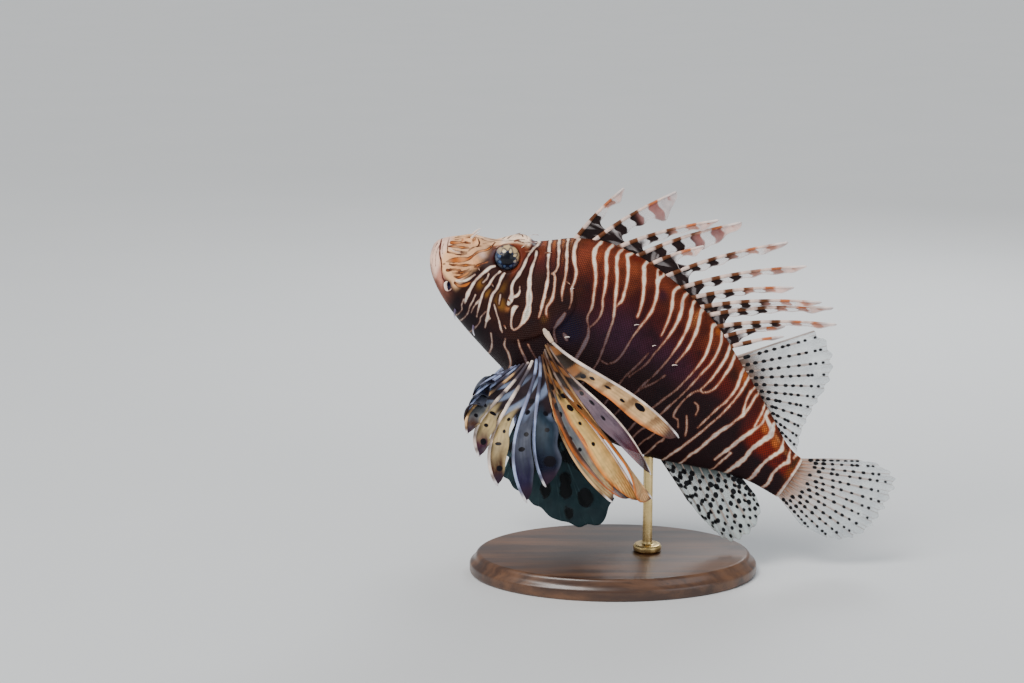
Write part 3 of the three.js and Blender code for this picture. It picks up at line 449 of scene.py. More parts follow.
# Station, height and reach of each nostril
NOSTRILS = ((18.2, 18.6, 1.1), (12.4, 15.6, 0.8))
SOCKET_RADIUS = 6.7

PALETTE = {
    "cream": (0.84, 0.50, 0.27), "milk": (0.86, 0.58, 0.47), "peach": (0.74, 0.27, 0.08),
    "orange": (0.37, 0.078, 0.028), "flame": (0.60, 0.15, 0.028), "amber": (0.24, 0.048, 0.022),
    "rust": (0.17, 0.034, 0.012), "pearl": (0.95, 0.74, 0.58), "chestnut": (0.30, 0.10, 0.06),
    "brick": (0.17, 0.012, 0.004), "maroon": (0.060, 0.007, 0.006), "plum": (0.026, 0.006, 0.022),
    "night": (0.008, 0.003, 0.005), "slate": (0.085, 0.085, 0.11), "gold": (0.22, 0.095, 0.016),
    "umber": (0.028, 0.008, 0.005), "ink": (0.002, 0.003, 0.022), "pink": (0.55, 0.25, 0.19),
    "violet": (0.048, 0.013, 0.040),
}
# Broad patches of colour: station, degrees, half length, half height in degrees, colour, strength
SKIN_PATCHES = [
    [112, 20, 18, 15, "violet", 0.7], [146, 24, 20, 12, "violet", 0.55], [168, 42, 15, 11, "brick", 0.5],
    [76, 40, 6, 12, "rust", 0.5], [52, 66, 2.5, 20, "rust", 0.7], [60, 78, 7, 12, "peach", 0.45],
    [64, 66, 2.2, 14, "peach", 0.35], [72.5, 64, 4, 17, "amber", 0.95], [80, 66, 2.2, 13, "orange", 0.8],
    [86, 62, 2.4, 15, "amber", 0.9], [92, 66, 2, 13, "orange", 0.75], [100.5, 64, 4, 8, "orange", 0.75],
    [98, 79, 5, 7, "brick", 0.8], [104, 48, 3.5, 7, "rust", 0.8], [110.5, 62, 3, 10, "amber", 0.7],
    [121, 72, 4.5, 8, "amber", 0.7], [121.5, 58, 4, 5.5, "plum", 0.8], [131, 62, 2.2, 12, "rust", 0.6],
    [137.5, 60, 1.8, 14, "maroon", 0.6], [145, 66, 2, 12, "peach", 0.5], [152, 62, 4, 16, "maroon", 0.6],
    [160, 78, 2.4, 8, "flame", 0.9], [167.8, 78, 2, 12, "amber", 0.8], [173.4, 78, 1.8, 11, "gold", 0.9],
    [180.5, 76, 3.8, 14, "amber", 0.7], [180, 55, 4, 9, "umber", 0.7], [187, 74, 2, 16, "flame", 1.0],
    [192.5, 80, 2, 10, "brick", 0.9], [192, 58, 2, 10, "umber", 0.6], [202.2, 54, 3.2, 34, "maroon", 0.85],
    [208, 48, 1.6, 9, "flame", 0.6], [212.6, 43, 2.6, 8, "flame", 1.0], [222.4, 42, 3.2, 9, "flame", 0.9],
    [222, 54, 3.5, 5, "peach", 0.7], [231, 50, 1.8, 8, "peach", 0.5], [239, 40, 2.6, 40, "gold", 0.6],
    [86, 8, 9, 10, "ink", 1.0], [46, 76, 1.7, 13, "slate", 0.85], [25.2, 39, 2.2, 5, "milk", 0.8],
    [29.6, 51, 1.2, 9, "slate", 0.5], [22.8, -13, 1.6, 5, "milk", 0.6], [32.4, 1, 2.6, 7, "gold", 0.9],
    [38.4, -4, 1.4, 5, "gold", 0.8], [43.6, 8, 1.8, 10, "gold", 0.5], [47.6, -5, 3.6, 5, "gold", 0.95],
    [52.2, -3.5, 1.6, 3.5, "peach", 0.6], [68.6, 16, 1.3, 5, "gold", 0.7], [71.4, 6, 2, 4, "gold", 0.6],
    [44.6, 38, 1.6, 14, "rust", 0.7],
]


def blend(low, high, share):
    share = np.asarray(share)[:, None]
    return np.asarray(low) * (1 - share) + np.asarray(high) * share


def skin_paint(x, degrees, rng):
    """The skin's colours without its lines: rust on the back, maroon on the flank, nearly black below, with a
    nearly black painted shade in the pit at the mouth's corner.
    """
    tint = PALETTE
    height = degrees + 3 * np.sin(x * 0.21) + 3 * np.sin(x * 0.083 + 1)
    colour = blend(tint["night"], tint["maroon"], smooth(8, 42, height))
    colour = blend(colour, tint["rust"], smooth(40, 62, height))
    flank = smooth(-8, 8, height) * (1 - smooth(40, 60, height))
    colour = blend(colour, tint["brick"], smooth(198, 210, x) * flank)
    gill = gill_edge(widest_at(x) + 0.55 * degrees)
    cheek = 1 - smooth(-3, 3, x - gill)
    colour = blend(colour, tint["umber"], cheek * smooth(-40, -20, degrees) * (1 - smooth(30, 46, degrees)))
    snout = (1 - smooth(24.5, 29.5, x + 0.06 * np.abs(degrees - 45))) * smooth(-30, -18, degrees + 0.25 * x)
    brow = (1 - smooth(43.5, 45.5, x)) * smooth(57, 62, degrees)
    pale = np.clip(np.maximum(snout, brow), 0, 1)
    colour = blend(colour, tint["cream"], pale)
    colour = blend(colour, tint["pearl"], 0.85 * pale * smooth(29, 32, x) * smooth(56, 63, degrees))
    for at, level, reach, rise, amount in ((12, 47, 6, 9, 0.5), (15, 8, 5, 12, 0.7), (22, 28, 4, 16, 0.4),
                                           (20, -8, 5, 9, 0.6), (26, 22, 3, 10, 0.6), (14, 64, 6, 7, 0.35)):
        blush = hump(x - at, reach) * hump(degrees - level, rise)
        colour = blend(colour, tint["peach"], amount * pale * blush)
    chin = (1 - smooth(16, 27, x)) * (1 - smooth(-50, -24, degrees))
    colour = blend(colour, tint["chestnut"], 0.75 * chin * (1 - 0.75 * (1 - smooth(2, 9, x))))
    jaw = (1 - smooth(12, 18, x + 0.02 * degrees)) * smooth(-66, -46, degrees)
    jaw = jaw * (1 - smooth(-22, -12, degrees + 0.9 * x))
    colour = blend(colour, tint["pink"], 0.9 * jaw)
    lips = (1 - smooth(5.5, 8.5, x - 0.06 * np.clip(-degrees, 0, 60)))
    lips = lips * np.maximum(smooth(-85, -40, degrees), 1 - smooth(2.5, 6.5, x))
    colour = blend(colour, tint["milk"], lips)
    for at, level, reach, rise, name, amount in SKIN_PATCHES:
        share = amount * np.exp(-((((x - at) / reach) ** 2 + ((degrees - level) / rise) ** 2) ** 1.4))
        colour = blend(colour, tint[name], share)
    # painted shade: the pit at the mouth's corner, where the skin dips, is painted nearly black
    pit = hump(np.hypot(x - 18.2, (degrees + 36) / 4.4), 1.9)
    colour = blend(colour, tint["ink"], np.clip(1.8 * pit, 0, 1))
    return np.clip(colour * (1 + 0.05 * rng.standard_normal(len(x)))[:, None], 0, 1), pale


SKIN_NUMBERS = ("white_edge", "glow", "brown_edge", "depth", "pale", "along", "girth")
SKIN_COLUMNS = 380
SKIN_ROWS = 236


def skin_surface(white, brown, crease, rng):
    def surface(u, v):
        x = STANDARD_LENGTH * np.minimum(1, (u / 0.985) ** 1.22)
        angle = TAU * v - math.pi / 2
        points = body_point(x, angle)
        closing = smooth(0.985, 1.0, u)
        centre = np.stack([x, 0 * x, widest_at(x)], 1)
        points = points * (1 - closing)[:, None] + (centre + [1.5, 0, 0]) * closing[:, None]
        nose = u < 1e-6
        points[nose] = [0, 0, back_line(0)]
        y = points[:, 1]
        side = np.sign(y)
        # the mouth's groove, deepest at its corner
        flank = smooth(1, 4, np.abs(y))
        crease_edge, _ = crease.read(points)
        groove = GROOVE_DEPTH * hump(np.maximum(0, crease_edge + 0.3), 0.7)
        corner = 1.6 * hump(np.hypot(points[:, 0] - MOUTH_CORNER[0], points[:, 2] - MOUTH_CORNER[1]), 1.5)
        # nostrils
        nostril = 0 * x
        for at, level, reach in NOSTRILS:
            nostril += 1.4 * hump(np.hypot(points[:, 0] - at, points[:, 2] - level), reach)
            nostril -= 0.5 * hump(np.hypot(points[:, 0] - at, points[:, 2] - level) - 1.7 * reach, 0.6)
        points[:, 1] -= side * (groove * flank + corner + nostril * smooth(2, 4, np.abs(y)))
        # the eye's socket: the skin dips under the ball and closes round it as a lid
        away = np.hypot(points[:, 0] - EYE["x"], points[:, 2] - EYE["z"])
        bowl = EYE["y"] + np.sqrt(np.maximum(0, SOCKET_RADIUS ** 2 - away ** 2)) - 0.6
        open_eye = (1 - smooth(6.5, 7.3, away)) * (np.abs(points[:, 1]) > 4)
        points[:, 1] = np.where(open_eye > 0, side * mix(np.abs(points[:, 1]), bowl, open_eye), points[:, 1])
        degrees = np.degrees(np.arcsin(np.clip(np.sin(angle), -1, 1)))
        paint, pale = skin_paint(x, degrees, rng)
        white_edge, glow = white.read(points)
        brown_edge, depth = brown.read(points)
        # the mouth's groove takes the brown lines' place with a mark of 1.3, which paints it dark brown:
        # painted shade in the groove
        depth = np.where(crease_edge < brown_edge, 1.3, depth)
        brown_edge = np.minimum(brown_edge, crease_edge)
        girth = degrees * (half_width(x) + back_line(x) - widest_at(x)) * 0.5 * math.pi / 180
        return points, {"paint": paint, "white_edge": white_edge, "glow": glow, "brown_edge": brown_edge,
                        "depth": depth, "pale": pale, "along": x, "girth": girth}

    return surface


def unlined(paint):
    """Marks of the small pieces that join the skin: their own colour, clear of every line and scale."""
    return {"paint": paint, "white_edge": 9.0, "glow": 0.0, "brown_edge": 9.0, "depth": 0.0, "pale": 1.0,
            "along": 0.0, "girth": 0.0}


# Node helpers
class Finish:
    def __init__(self, name):
        self.material = bpy.data.materials.new(name)
        self.material.use_nodes = True
        self.nodes = self.material.node_tree.nodes
        self.links = self.material.node_tree.links
        self.shader = self.nodes["Principled BSDF"]

    def node(self, kind, **settings):
        node = self.nodes.new(kind)
        for key, value in settings.items():
            setattr(node, key, value)
        return node

    def put(self, target, value):
        if isinstance(value, bpy.types.NodeSocket):
            self.links.new(value, target)
        else:
            target.default_value = value

    def read(self, name):
        return self.node("ShaderNodeAttribute", attribute_name=name).outputs

    def math(self, operation, a, b=0.0, c=0.0):
        node = self.node("ShaderNodeMath", operation=operation)
        for socket, value in zip(node.inputs, (a, b, c)):
            self.put(socket, value)
        return node.outputs[0]

    def times(self, a, b):
        return self.math("MULTIPLY", a, b)

    def ramp(self, value, low, high, to_low=0.0, to_high=1.0):
        node = self.node("ShaderNodeMapRange", interpolation_type="SMOOTHSTEP")
        for socket, item in zip(node.inputs[:5], (value, low, high, to_low, to_high)):
            self.put(socket, item)
        return node.outputs[0]

    def mix(self, share, a, b, mode="MIX"):
        node = self.node("ShaderNodeMix", data_type="RGBA", blend_type=mode)
        self.put(node.inputs[0], share)
        for socket, value in zip((node.inputs[6], node.inputs[7]), (a, b)):
            self.put(socket, (*value, 1.0) if isinstance(value, tuple) and len(value) == 3 else value)
        return node.outputs[2]

    def noise(self, scale, detail=3.0, roughness=0.5, vector=None):
        node = self.node("ShaderNodeTexNoise")
        node.inputs["Scale"].default_value = scale
        node.inputs["Detail"].default_value = detail
        node.inputs["Roughness"].default_value = roughness
        self.put(node.inputs["Vector"], vector or self.place())
        return node.outputs[0]

    def place(self):
        return self.node("ShaderNodeTexCoord").outputs["Object"]

    def bump(self, height, distance, strength=1.0, below=None):
        node = self.node("ShaderNodeBump")
        node.inputs["Strength"].default_value = strength
        node.inputs["Distance"].default_value = distance
        self.put(node.inputs["Height"], height)
        if below is not None:
            self.put(node.inputs["Normal"], below)
        return node.outputs[0]


def skin_finish():
    skin = Finish("banded_skin")
    paint = skin.read("paint")["Color"]
    along = skin.read("along")["Fac"]
    pale = skin.read("pale")["Fac"]
    girth = skin.read("girth")["Fac"]
    # small diamond scales, from behind the head to the tail
    rising = skin.math("ADD", skin.math("DIVIDE", along, 1.7), skin.math("DIVIDE", girth, 1.35))
    falling = skin.math("SUBTRACT", skin.math("DIVIDE", along, 1.7), skin.math("DIVIDE", girth, 1.35))
    first = skin.math("ABSOLUTE", skin.math("SINE", skin.times(rising, math.pi)))
    second = skin.math("ABSOLUTE", skin.math("SINE", skin.times(falling, math.pi)))
    lattice = skin.ramp(skin.math("MINIMUM", first, second), 0.05, 0.8)
    scaly = skin.ramp(along, 46.0, 64.0)
    scales = skin.math("MULTIPLY_ADD", skin.math("SUBTRACT", lattice, 1.0), scaly, 1.0)
    cloud = skin.noise(90, 4)
    fine = skin.noise(900, 2)
    tone = skin.mix(skin.ramp(cloud, 0.3, 0.7), (0.72, 0.70, 0.72), (1.35, 1.28, 1.2))
    body = skin.mix(1.0, paint, tone, "MULTIPLY")
    body = skin.mix(skin.math("MULTIPLY_ADD", scales, -0.75, 0.75), body, (0.02, 0.004, 0.004))
    patchy = skin.ramp(skin.noise(55, 5, 0.6), 0.52, 0.66)
    mottle = skin.times(patchy, skin.math("MULTIPLY_ADD", pale, -0.5, 0.5))
    body = skin.mix(mottle, body, (0.006, 0.003, 0.006))
    # brown lines on the pale parts, and painted shade along the mouth's groove
    wander = skin.math("MULTIPLY_ADD", skin.noise(260, 2), 0.9, -0.45)
    wobble = skin.math("ADD", wander, skin.math("MULTIPLY_ADD", fine, 0.3, -0.15))
    brown_edge = skin.math("ADD", skin.read("brown_edge")["Fac"], wobble)
    depth = skin.read("depth")["Fac"]
    brown_share = skin.times(skin.ramp(brown_edge, 0.22, -0.12), skin.math("MINIMUM", depth, 1.0))
    core = skin.mix(skin.ramp(cloud, 0.35, 0.65), (0.66, 0.20, 0.03), (0.34, 0.075, 0.015))
    # a depth of 1.3 marks the mouth's groove, painted a dark brown as painted shade
    brown = skin.mix(skin.ramp(depth, 1.0, 1.3),
                     skin.mix(skin.ramp(brown_edge, -0.28, -0.75), (0.06, 0.016, 0.010), core),
                     (0.10, 0.025, 0.02))
    body = skin.mix(brown_share, body, brown)
    # white lines: a dark margin, a warm fringe, then the pale core
    white_edge = skin.math("ADD", skin.read("white_edge")["Fac"], wobble)
    glow = skin.read("glow")["Fac"]
    shaded = skin.times(skin.ramp(along, 84.0, 62.0, 0.12, 0.9), skin.math("SUBTRACT", 1.0, pale))
    body = skin.mix(skin.times(skin.ramp(white_edge, 1.5, 0.2), shaded), body, (0.016, 0.004, 0.006))
    halo = skin.times(skin.ramp(white_edge, 1.3, -0.1), skin.ramp(glow, 0.45, 1.0, 0.0, 0.55))
    body = skin.mix(skin.times(halo, skin.ramp(along, 62.0, 84.0)), body, (0.35, 0.066, 0.026))
    fringe = skin.times(skin.ramp(white_edge, 0.45, -0.15),
                       skin.times(glow, skin.ramp(along, 50.0, 76.0, 0.3, 0.8)))
    body = skin.mix(fringe, body, (0.46, 0.17, 0.09))
    streak = skin.mix(skin.ramp(fine, 0.35, 0.7), (0.92, 0.72, 0.56), (1.0, 0.95, 0.86))
    streak = skin.mix(skin.ramp(skin.noise(170, 3), 0.50, 0.70, 0.0, 0.65), streak, (0.42, 0.29, 0.29))
    warm = skin.times(skin.ramp(white_edge, -0.8, -0.1, 0.0, 0.6), skin.ramp(along, 50.0, 70.0, 0.35, 1.0))
    streak = skin.mix(warm, streak, (0.80, 0.40, 0.20))
    hollow = skin.times(skin.ramp(white_edge, -0.95, -1.4, 0.0, 0.7), skin.ramp(along, 72.0, 66.0))
    streak = skin.mix(hollow, streak, (0.42, 0.44, 0.36))
    white = skin.mix(skin.ramp(glow, 0.2, 0.9), (0.13, 0.09, 0.10), streak)
    body = skin.mix(skin.ramp(white_edge, 0.22, -0.6), body, white)
    skin.put(skin.shader.inputs["Base Color"], body)
    skin.put(skin.shader.inputs["Roughness"], skin.ramp(cloud, 0.2, 0.8, 0.42, 0.56))
    skin.shader.inputs["Specular IOR Level"].default_value = 0.12
    pores = skin.bump(skin.noise(420, 3), 0.0004, 0.35)
    relief = skin.bump(scales, 0.00022, 0.8, pores)
    raised = skin.bump(skin.ramp(white_edge, 0.8, -0.3), 0.0002, 0.5, relief)
    skin.put(skin.shader.inputs["Normal"], raised)
    return skin.material


def fin_finish(name, ray_colour, spot_colour, ray_solid=0.95, blurred=0.22, ragged=0.0):
    """Membrane with its own colour and clearness, lighter rays and dark spots with crisp edges."""
    fin = Finish(name)
    paint = fin.read("paint")["Color"]
    fine = fin.math("MULTIPLY_ADD", fin.noise(700, 2), 0.4, -0.2)
    if ragged:
        fine = fin.math("MULTIPLY_ADD", fin.noise(130, 4), 2 * ragged, -ragged)
    ray = fin.ramp(fin.read("ray_edge")["Fac"], 0.18, -0.18)
    spot = fin.ramp(fin.math("ADD", fin.read("spot_edge")["Fac"], fine), blurred, -blurred)
    tone = fin.mix(fin.ramp(fin.noise(160, 4), 0.3, 0.7), (0.78, 0.78, 0.8), (1.2, 1.16, 1.12))
    colour = fin.mix(1.0, paint, tone, "MULTIPLY")
    colour = fin.mix(fin.times(ray, fin.read("ray_share")["Fac"]), colour, ray_colour)
    colour = fin.mix(spot, colour, spot_colour)
    fin.put(fin.shader.inputs["Base Color"], colour)
    solid = fin.math("MAXIMUM", fin.read("solid")["Fac"], fin.times(ray, ray_solid))
    solid = fin.math("MAXIMUM", solid, fin.times(spot, 0.97))
    fin.put(fin.shader.inputs["Alpha"], solid)
    fin.shader.inputs["Roughness"].default_value = 0.42
    fin.shader.inputs["Specular IOR Level"].default_value = 0.12
    ribs = fin.bump(ray, 0.0003, 0.6)
    streaks = fin.bump(fin.noise(500, 3), 0.0003, 0.25, ribs)
    fin.put(fin.shader.inputs["Normal"], streaks)
    return fin.material


FIN_COLOURS = ("paint",)
FIN_NUMBERS = ("ray_edge", "ray_share", "spot_edge", "solid")
CLEAR_OF_SPOTS = 20.0


def spots_edge(points, centres, radii, ways):
    """How far each point is outside the nearest spot; spots are longer along the rays."""
    edge = np.full(len(points), CLEAR_OF_SPOTS)
    for centre, radius, way in zip(centres, radii, ways):
        away = points - centre
        along = away @ way
        away = away - 0.24 * along[:, None] * way
        edge = np.minimum(edge, np.linalg.norm(away, axis=1) - radius)
    return edge


# Fan fins: rays spread inside one thin membrane. A ray forks from this share of its length on
FORK_START = 0.45
FAN_ROWS = 64


def fan_fin(name, node, base, rim, rays, material, colours, spots, sway, solid, seed, notch=0.02,
            columns_per_ray=9, ray_width=0.48, thinnest=0.25):
    rng = np.random.default_rng(seed)

    def middle(u, v):
        dent = 1 - notch * (1 - np.cos(TAU * u * rays)) * smooth(0.75, 1, v)
        ripple = 0.004 * np.sin(u * rays * 9.7) * smooth(0.9, 1, v)
        start, end = base(u), rim(u)
        at = start + (end - start) * (v * (dent + ripple))[:, None]
        at[:, 1] += sway(u, v) + 0.5 * np.sin(TAU * u * rays + 1.0) * smooth(0.1, 0.6, v)
        return at

    centres, radii, ways = [], [], []
    for k in range(rays):
        for v, offset, radius in spots(k, rng):
            u = np.array([np.clip((k + 0.5 + offset) / rays, 0.002, 0.998)])
            here = middle(u, np.array([v]))[0]
            ahead = middle(u, np.array([v + 0.02]))[0] - here
            centres.append(here)
            radii.append(radius)
            ways.append(ahead / np.linalg.norm(ahead))

    def surface(u, v):
        points = middle(u, v)
        lane = u * rays - 0.5
        nearest = np.clip(np.round(lane), 0, rays - 1)
        ahead, behind = middle(np.minimum(1, u + 0.01), v), middle(np.maximum(0, u - 0.01), v)
        spacing = np.linalg.norm(ahead - behind, axis=1)
        per_ray = spacing / (0.02 * rays)
        from_ray = np.abs(lane - nearest)
        fork = 0.16 * smooth(FORK_START, 1.0, v)
        ray_edge = np.abs(from_ray - fork) * per_ray - ray_width * mix(1.0, 0.45, v)
        leading = (u * per_ray * rays) - 0.9
        ray_edge = np.minimum(ray_edge, leading)
        stiff = np.clip(1 - ray_edge / 0.6, 0, 1) * mix(1.0, 0.3, v)
        share = np.clip(v * (1 + 0.05 * np.sin(u * 37)), 0, 1)
        marks = {
            "paint": blend(colours[0], colours[1], smooth(0.0, 0.75, share)),
            "ray_edge": ray_edge, "ray_share": mix(0.9, 0.75, v), "stiffness": stiff,
            "spot_edge": spots_edge(points, centres, radii, ways),
            "solid": mix(solid[0], solid[1], smooth(0.0, 0.35, v)),
        }
        return points, marks

    bm = new_bmesh(FIN_COLOURS, FIN_NUMBERS)
    lay_sheet(bm, rays * columns_per_ray, FAN_ROWS, surface)
    return finish_piece(name, bm, material, (node,), thickness=1.5, thinnest=thinnest)


def column(*parts):
    return np.stack(np.broadcast_arrays(*parts), 1)


def flat_rim(stations, heights):
    """A fin's free edge in the fish's middle plane."""
    x, z = curve(stations), curve(heights)
    return lambda u: column(x(u), 0 * u, z(u))


def soft_back_fin(material):
    rim = flat_rim([[0, 206], [0.07, 213.5], [0.16, 221], [0.28, 227.5], [0.42, 230.5], [0.6, 231],
                    [0.8, 232.5], [1, 237]],
                   [[0, 76.5], [0.07, 76], [0.16, 72], [0.28, 64], [0.42, 53], [0.6, 39], [0.8, 25], [1, 13]])

    def base(u):
        x = mix(175.5, 215, u)
        return column(x, 0 * x, back_line(x) - 3)

    def spots(k, rng):
        count = int(round(mix(10, 6, k / 10)))
        for i in range(count):
            v = mix(0.06, 0.97, (i + 0.5 + 0.16 * rng.standard_normal()) / count)
            yield v, 0.0, mix(1.2, 0.85, v) * mix(1.0, 0.9, k / 10)

    return fan_fin("soft_back_fin", "back_fin_soft", base, rim, 11, material,
                   ((0.13, 0.07, 0.045), (0.60, 0.66, 0.68)), spots,
                   lambda u, v: 2.2 * v * np.sin(3 * u + 0.6), solid=(0.95, 0.34), seed=3)


def anal_fin(material):
    rim = flat_rim([[0, 200], [0.18, 219], [0.36, 231], [0.55, 238], [0.75, 241], [0.9, 238], [1, 231]],
                   [[0, -44], [0.18, -50], [0.36, -52], [0.55, -47], [0.75, -36], [0.9, -26], [1, -20]])

    def base(u):
        x = mix(170, 214, u)
        return column(x, 0 * x, belly_line(x) + 3)

    def spots(k, rng):
        count = 11
        for i in range(count):
            v = mix(0.14, 0.97, (i + 0.5 + 0.22 * rng.standard_normal()) / count)
            aside = (0.24 if i % 2 else -0.22) + 0.07 * rng.standard_normal()
            yield v, aside, mix(1.5, 1.0, v) * rng.uniform(0.75, 1.15)

    return fan_fin("anal_fin_sheet", "anal_fin", base, rim, 9, material,
                   ((0.05, 0.07, 0.07), (0.50, 0.58, 0.56)), spots,
                   lambda u, v: 2.4 * v * np.sin(2.6 * u + 2), solid=(0.97, 0.42), seed=5)


def tail_fin(material):
    rim = flat_rim([[0, 268], [0.1, 281], [0.22, 293], [0.4, 297.5], [0.6, 298.5], [0.76, 293], [0.9, 281],
                    [1, 264]],
                   [[0, 28], [0.1, 32.5], [0.22, 30.5], [0.4, 17], [0.6, 1], [0.76, -12], [0.9, -20],
                    [1, -22]])

    def base(u):
        return column(STANDARD_LENGTH - 4 + 0 * u, 0 * u, mix(9.5, -12.6, u))

    def spots(k, rng):
        count = 8
        for i in range(count):
            v = mix(0.18, 0.98, (i + 0.5 + 0.5 * (k % 2) + 0.14 * rng.standard_normal()) / (count + 0.5))
            yield min(v, 0.985), 0.0, mix(1.15, 0.8, v) * rng.uniform(0.85, 1.1)

    return fan_fin("tail_fin_sheet", "tail_fin", base, rim, 13, material,
                   ((0.50, 0.24, 0.12), (0.60, 0.66, 0.68)), spots,
                   lambda u, v: 3.2 * v * v * np.sin(2.2 * u - 0.4), solid=(0.95, 0.32), seed=7)


def hip_fin(side, word, material):
    reach = curve([[0, 48], [0.3, 59], [0.6, 74], [0.8, 79], [1, 68]])
    height = float(belly_line(95)) + 5

    def base(u):
        return column(mix(91, 99, u), side * mix(8.5, 6.5, u), height + 0 * u)

    def rim(u):
        angle = np.radians(mix(-80, -24, u))
        length = reach(u)
        return base(u) + column(np.cos(angle) * length, side * mix(17, 8, u), np.sin(angle) * length)

    def spots(k, rng):
        for i in range(4):
            v = mix(0.22, 0.97, (i + 0.5 * (k % 2) + 0.25 + 0.16 * rng.standard_normal()) / 4.3)
            yield min(v, 0.93), 0.2 + 0.3 * rng.standard_normal(), mix(2.2, 4.2, v) * rng.uniform(0.75, 1.2)

    return fan_fin(f"hip_fin_sheet_{word}", f"hip_fin_{word}", base, rim, 6, material,
                   ((0.006, 0.008, 0.012), (0.014, 0.036, 0.044)), spots,
                   lambda u, v: side * 3 * np.sin(math.pi * v), solid=(1.0, 0.93), seed=11 + side,
                   notch=0.012, columns_per_ray=12, ray_width=0.5, thinnest=0.35)


# Comb fins: each ray carries a vane of its own beyond a short web
def bezier(points, t):
    points = [np.asarray(point, float) for point in points]
    t = np.asarray(t, float)[:, None]
    if len(points) == 3:
        return (1 - t) ** 2 * points[0] + 2 * t * (1 - t) * points[1] + t ** 2 * points[2]
    return ((1 - t) ** 3 * points[0] + 3 * t * (1 - t) ** 2 * points[1] + 3 * t ** 2 * (1 - t) * points[2]
            + t ** 3 * points[3])


def direction(points_at, t):
    ahead, behind = points_at(np.minimum(1, t + 0.01)), points_at(np.maximum(0, t - 0.01))
    way = ahead - behind
    return way / np.maximum(1e-9, np.linalg.norm(way, axis=1))[:, None]


# Rays 0 to 5 make the rear part of a breast fin. The far fin hangs lower in front, by so many millimetres,
# which keeps it behind the near one. The curves run from ray 0 to the last: the roots' station and height,
# and how far out the tips stand
BREAST_RAYS = 14
SPLIT_RAY = 6
FAR_FIN_DROP = 25
root_x = curve([[0, 77.5], [0.4, 81], [1, 73]])
root_z = curve([[0, -2], [0.4, -12], [1, -28]])
tip_out = curve([[0, 44], [0.16, 56], [0.4, 62], [0.6, 67], [0.75, 66], [0.88, 57], [1, 45]])

# The picture's middle and the camera's distance and height over it, for placing what the photograph shows
VIEW_TARGET = (-57.7, 0.0, 134.2)
VIEW_DISTANCE = 1200
VIEW_ELEVATION = math.radians(12)
PICTURE_WIDTH = 1024 * 0.56


def in_view(across, up, out):
    """A point seen so far right of and over the picture's middle, and so far left of the fish's middle."""
    y = -out
    height = up
    for _ in range(4):
        depth = y * math.cos(VIEW_ELEVATION) - height * math.sin(VIEW_ELEVATION)
        grow = (VIEW_DISTANCE + depth) / VIEW_DISTANCE
        height = (up * grow - y * math.sin(VIEW_ELEVATION)) / math.cos(VIEW_ELEVATION)
    along = VIEW_TARGET[0] + across * grow - SNOUT_AT[0]
    over = VIEW_TARGET[2] + height - SNOUT_AT[2]
    x = along * math.cos(PITCH) - over * math.sin(PITCH)
    z = along * math.sin(PITCH) + over * math.cos(PITCH)
    return np.array([x, y, z])


# Where each ray of the left breast fin is seen at a third and two thirds of its length and at its tip, in
# millimetres right of and over the picture's middle; then its vane's widest part and the ray's own width
BREAST_PATHS = [
    [(40.3, -13.7), (67.2, -30), (93.5, -54), 11.5, 1.5],
    [(36.4, -22.7), (57.7, -42.8), (77.8, -74.8), 9, 0.9],
    [(34.2, -28.3), (58.8, -62.4), (78.4, -88.2), 12, 1.1],
    [(30.2, -28.8), (48.4, -52.5), (72.2, -90.4), 11.5, 1.3],
    [(25.2, -28.3), (39.8, -55.2), (67.2, -88.8), 8.5, 1.0],
    [(21.8, -32.8), (32.8, -62.4), (56.6, -90.4), 10.5, 1.3],
    [(14.6, -30), (12.3, -55.2), (19, -81.5), 13.5, 1.6],
    [(8.4, -32.8), (1.1, -59.6), (8.4, -90.4), 10.5, 1.7],
    [(-0.6, -32.8), (-11.8, -56.8), (-7.8, -80.9), 9.5, 1.7],
    [(-6.2, -30.5), (-19, -46.8), (-17.9, -64.7), 8.5, 1.6],
    [(-10, -27.2), (-23, -38.4), (-24.6, -51.8), 7.5, 1.4],
    [(-10, -23.8), (-21.3, -33.3), (-25.2, -46.2), 6, 1.2],
    [(-8.4, -20.4), (-17.9, -27.7), (-23.5, -37.2), 5, 1.1],
    [(-7.8, -18.8), (-15.7, -23.2), (-21.3, -30.5), 4.5, 1.0],
]
VANE_TINTS = {
    "cream": (0.74, 0.46, 0.22), "yellow": (0.80, 0.52, 0.18), "orange": (0.70, 0.17, 0.02),
    "tan": (0.34, 0.15, 0.05), "mauve": (0.22, 0.16, 0.20), "wine": (0.06, 0.012, 0.03),
    "smoke": (0.075, 0.085, 0.12), "sea": (0.018, 0.034, 0.055), "night": (0.006, 0.007, 0.02),
    "sand": (0.50, 0.38, 0.19), "brown": (0.06, 0.022, 0.012), "ice": (0.40, 0.48, 0.74),
    "pearl": (0.92, 0.76, 0.66), "indigo": (0.018, 0.013, 0.045), "grey": (0.16, 0.17, 0.18),
}
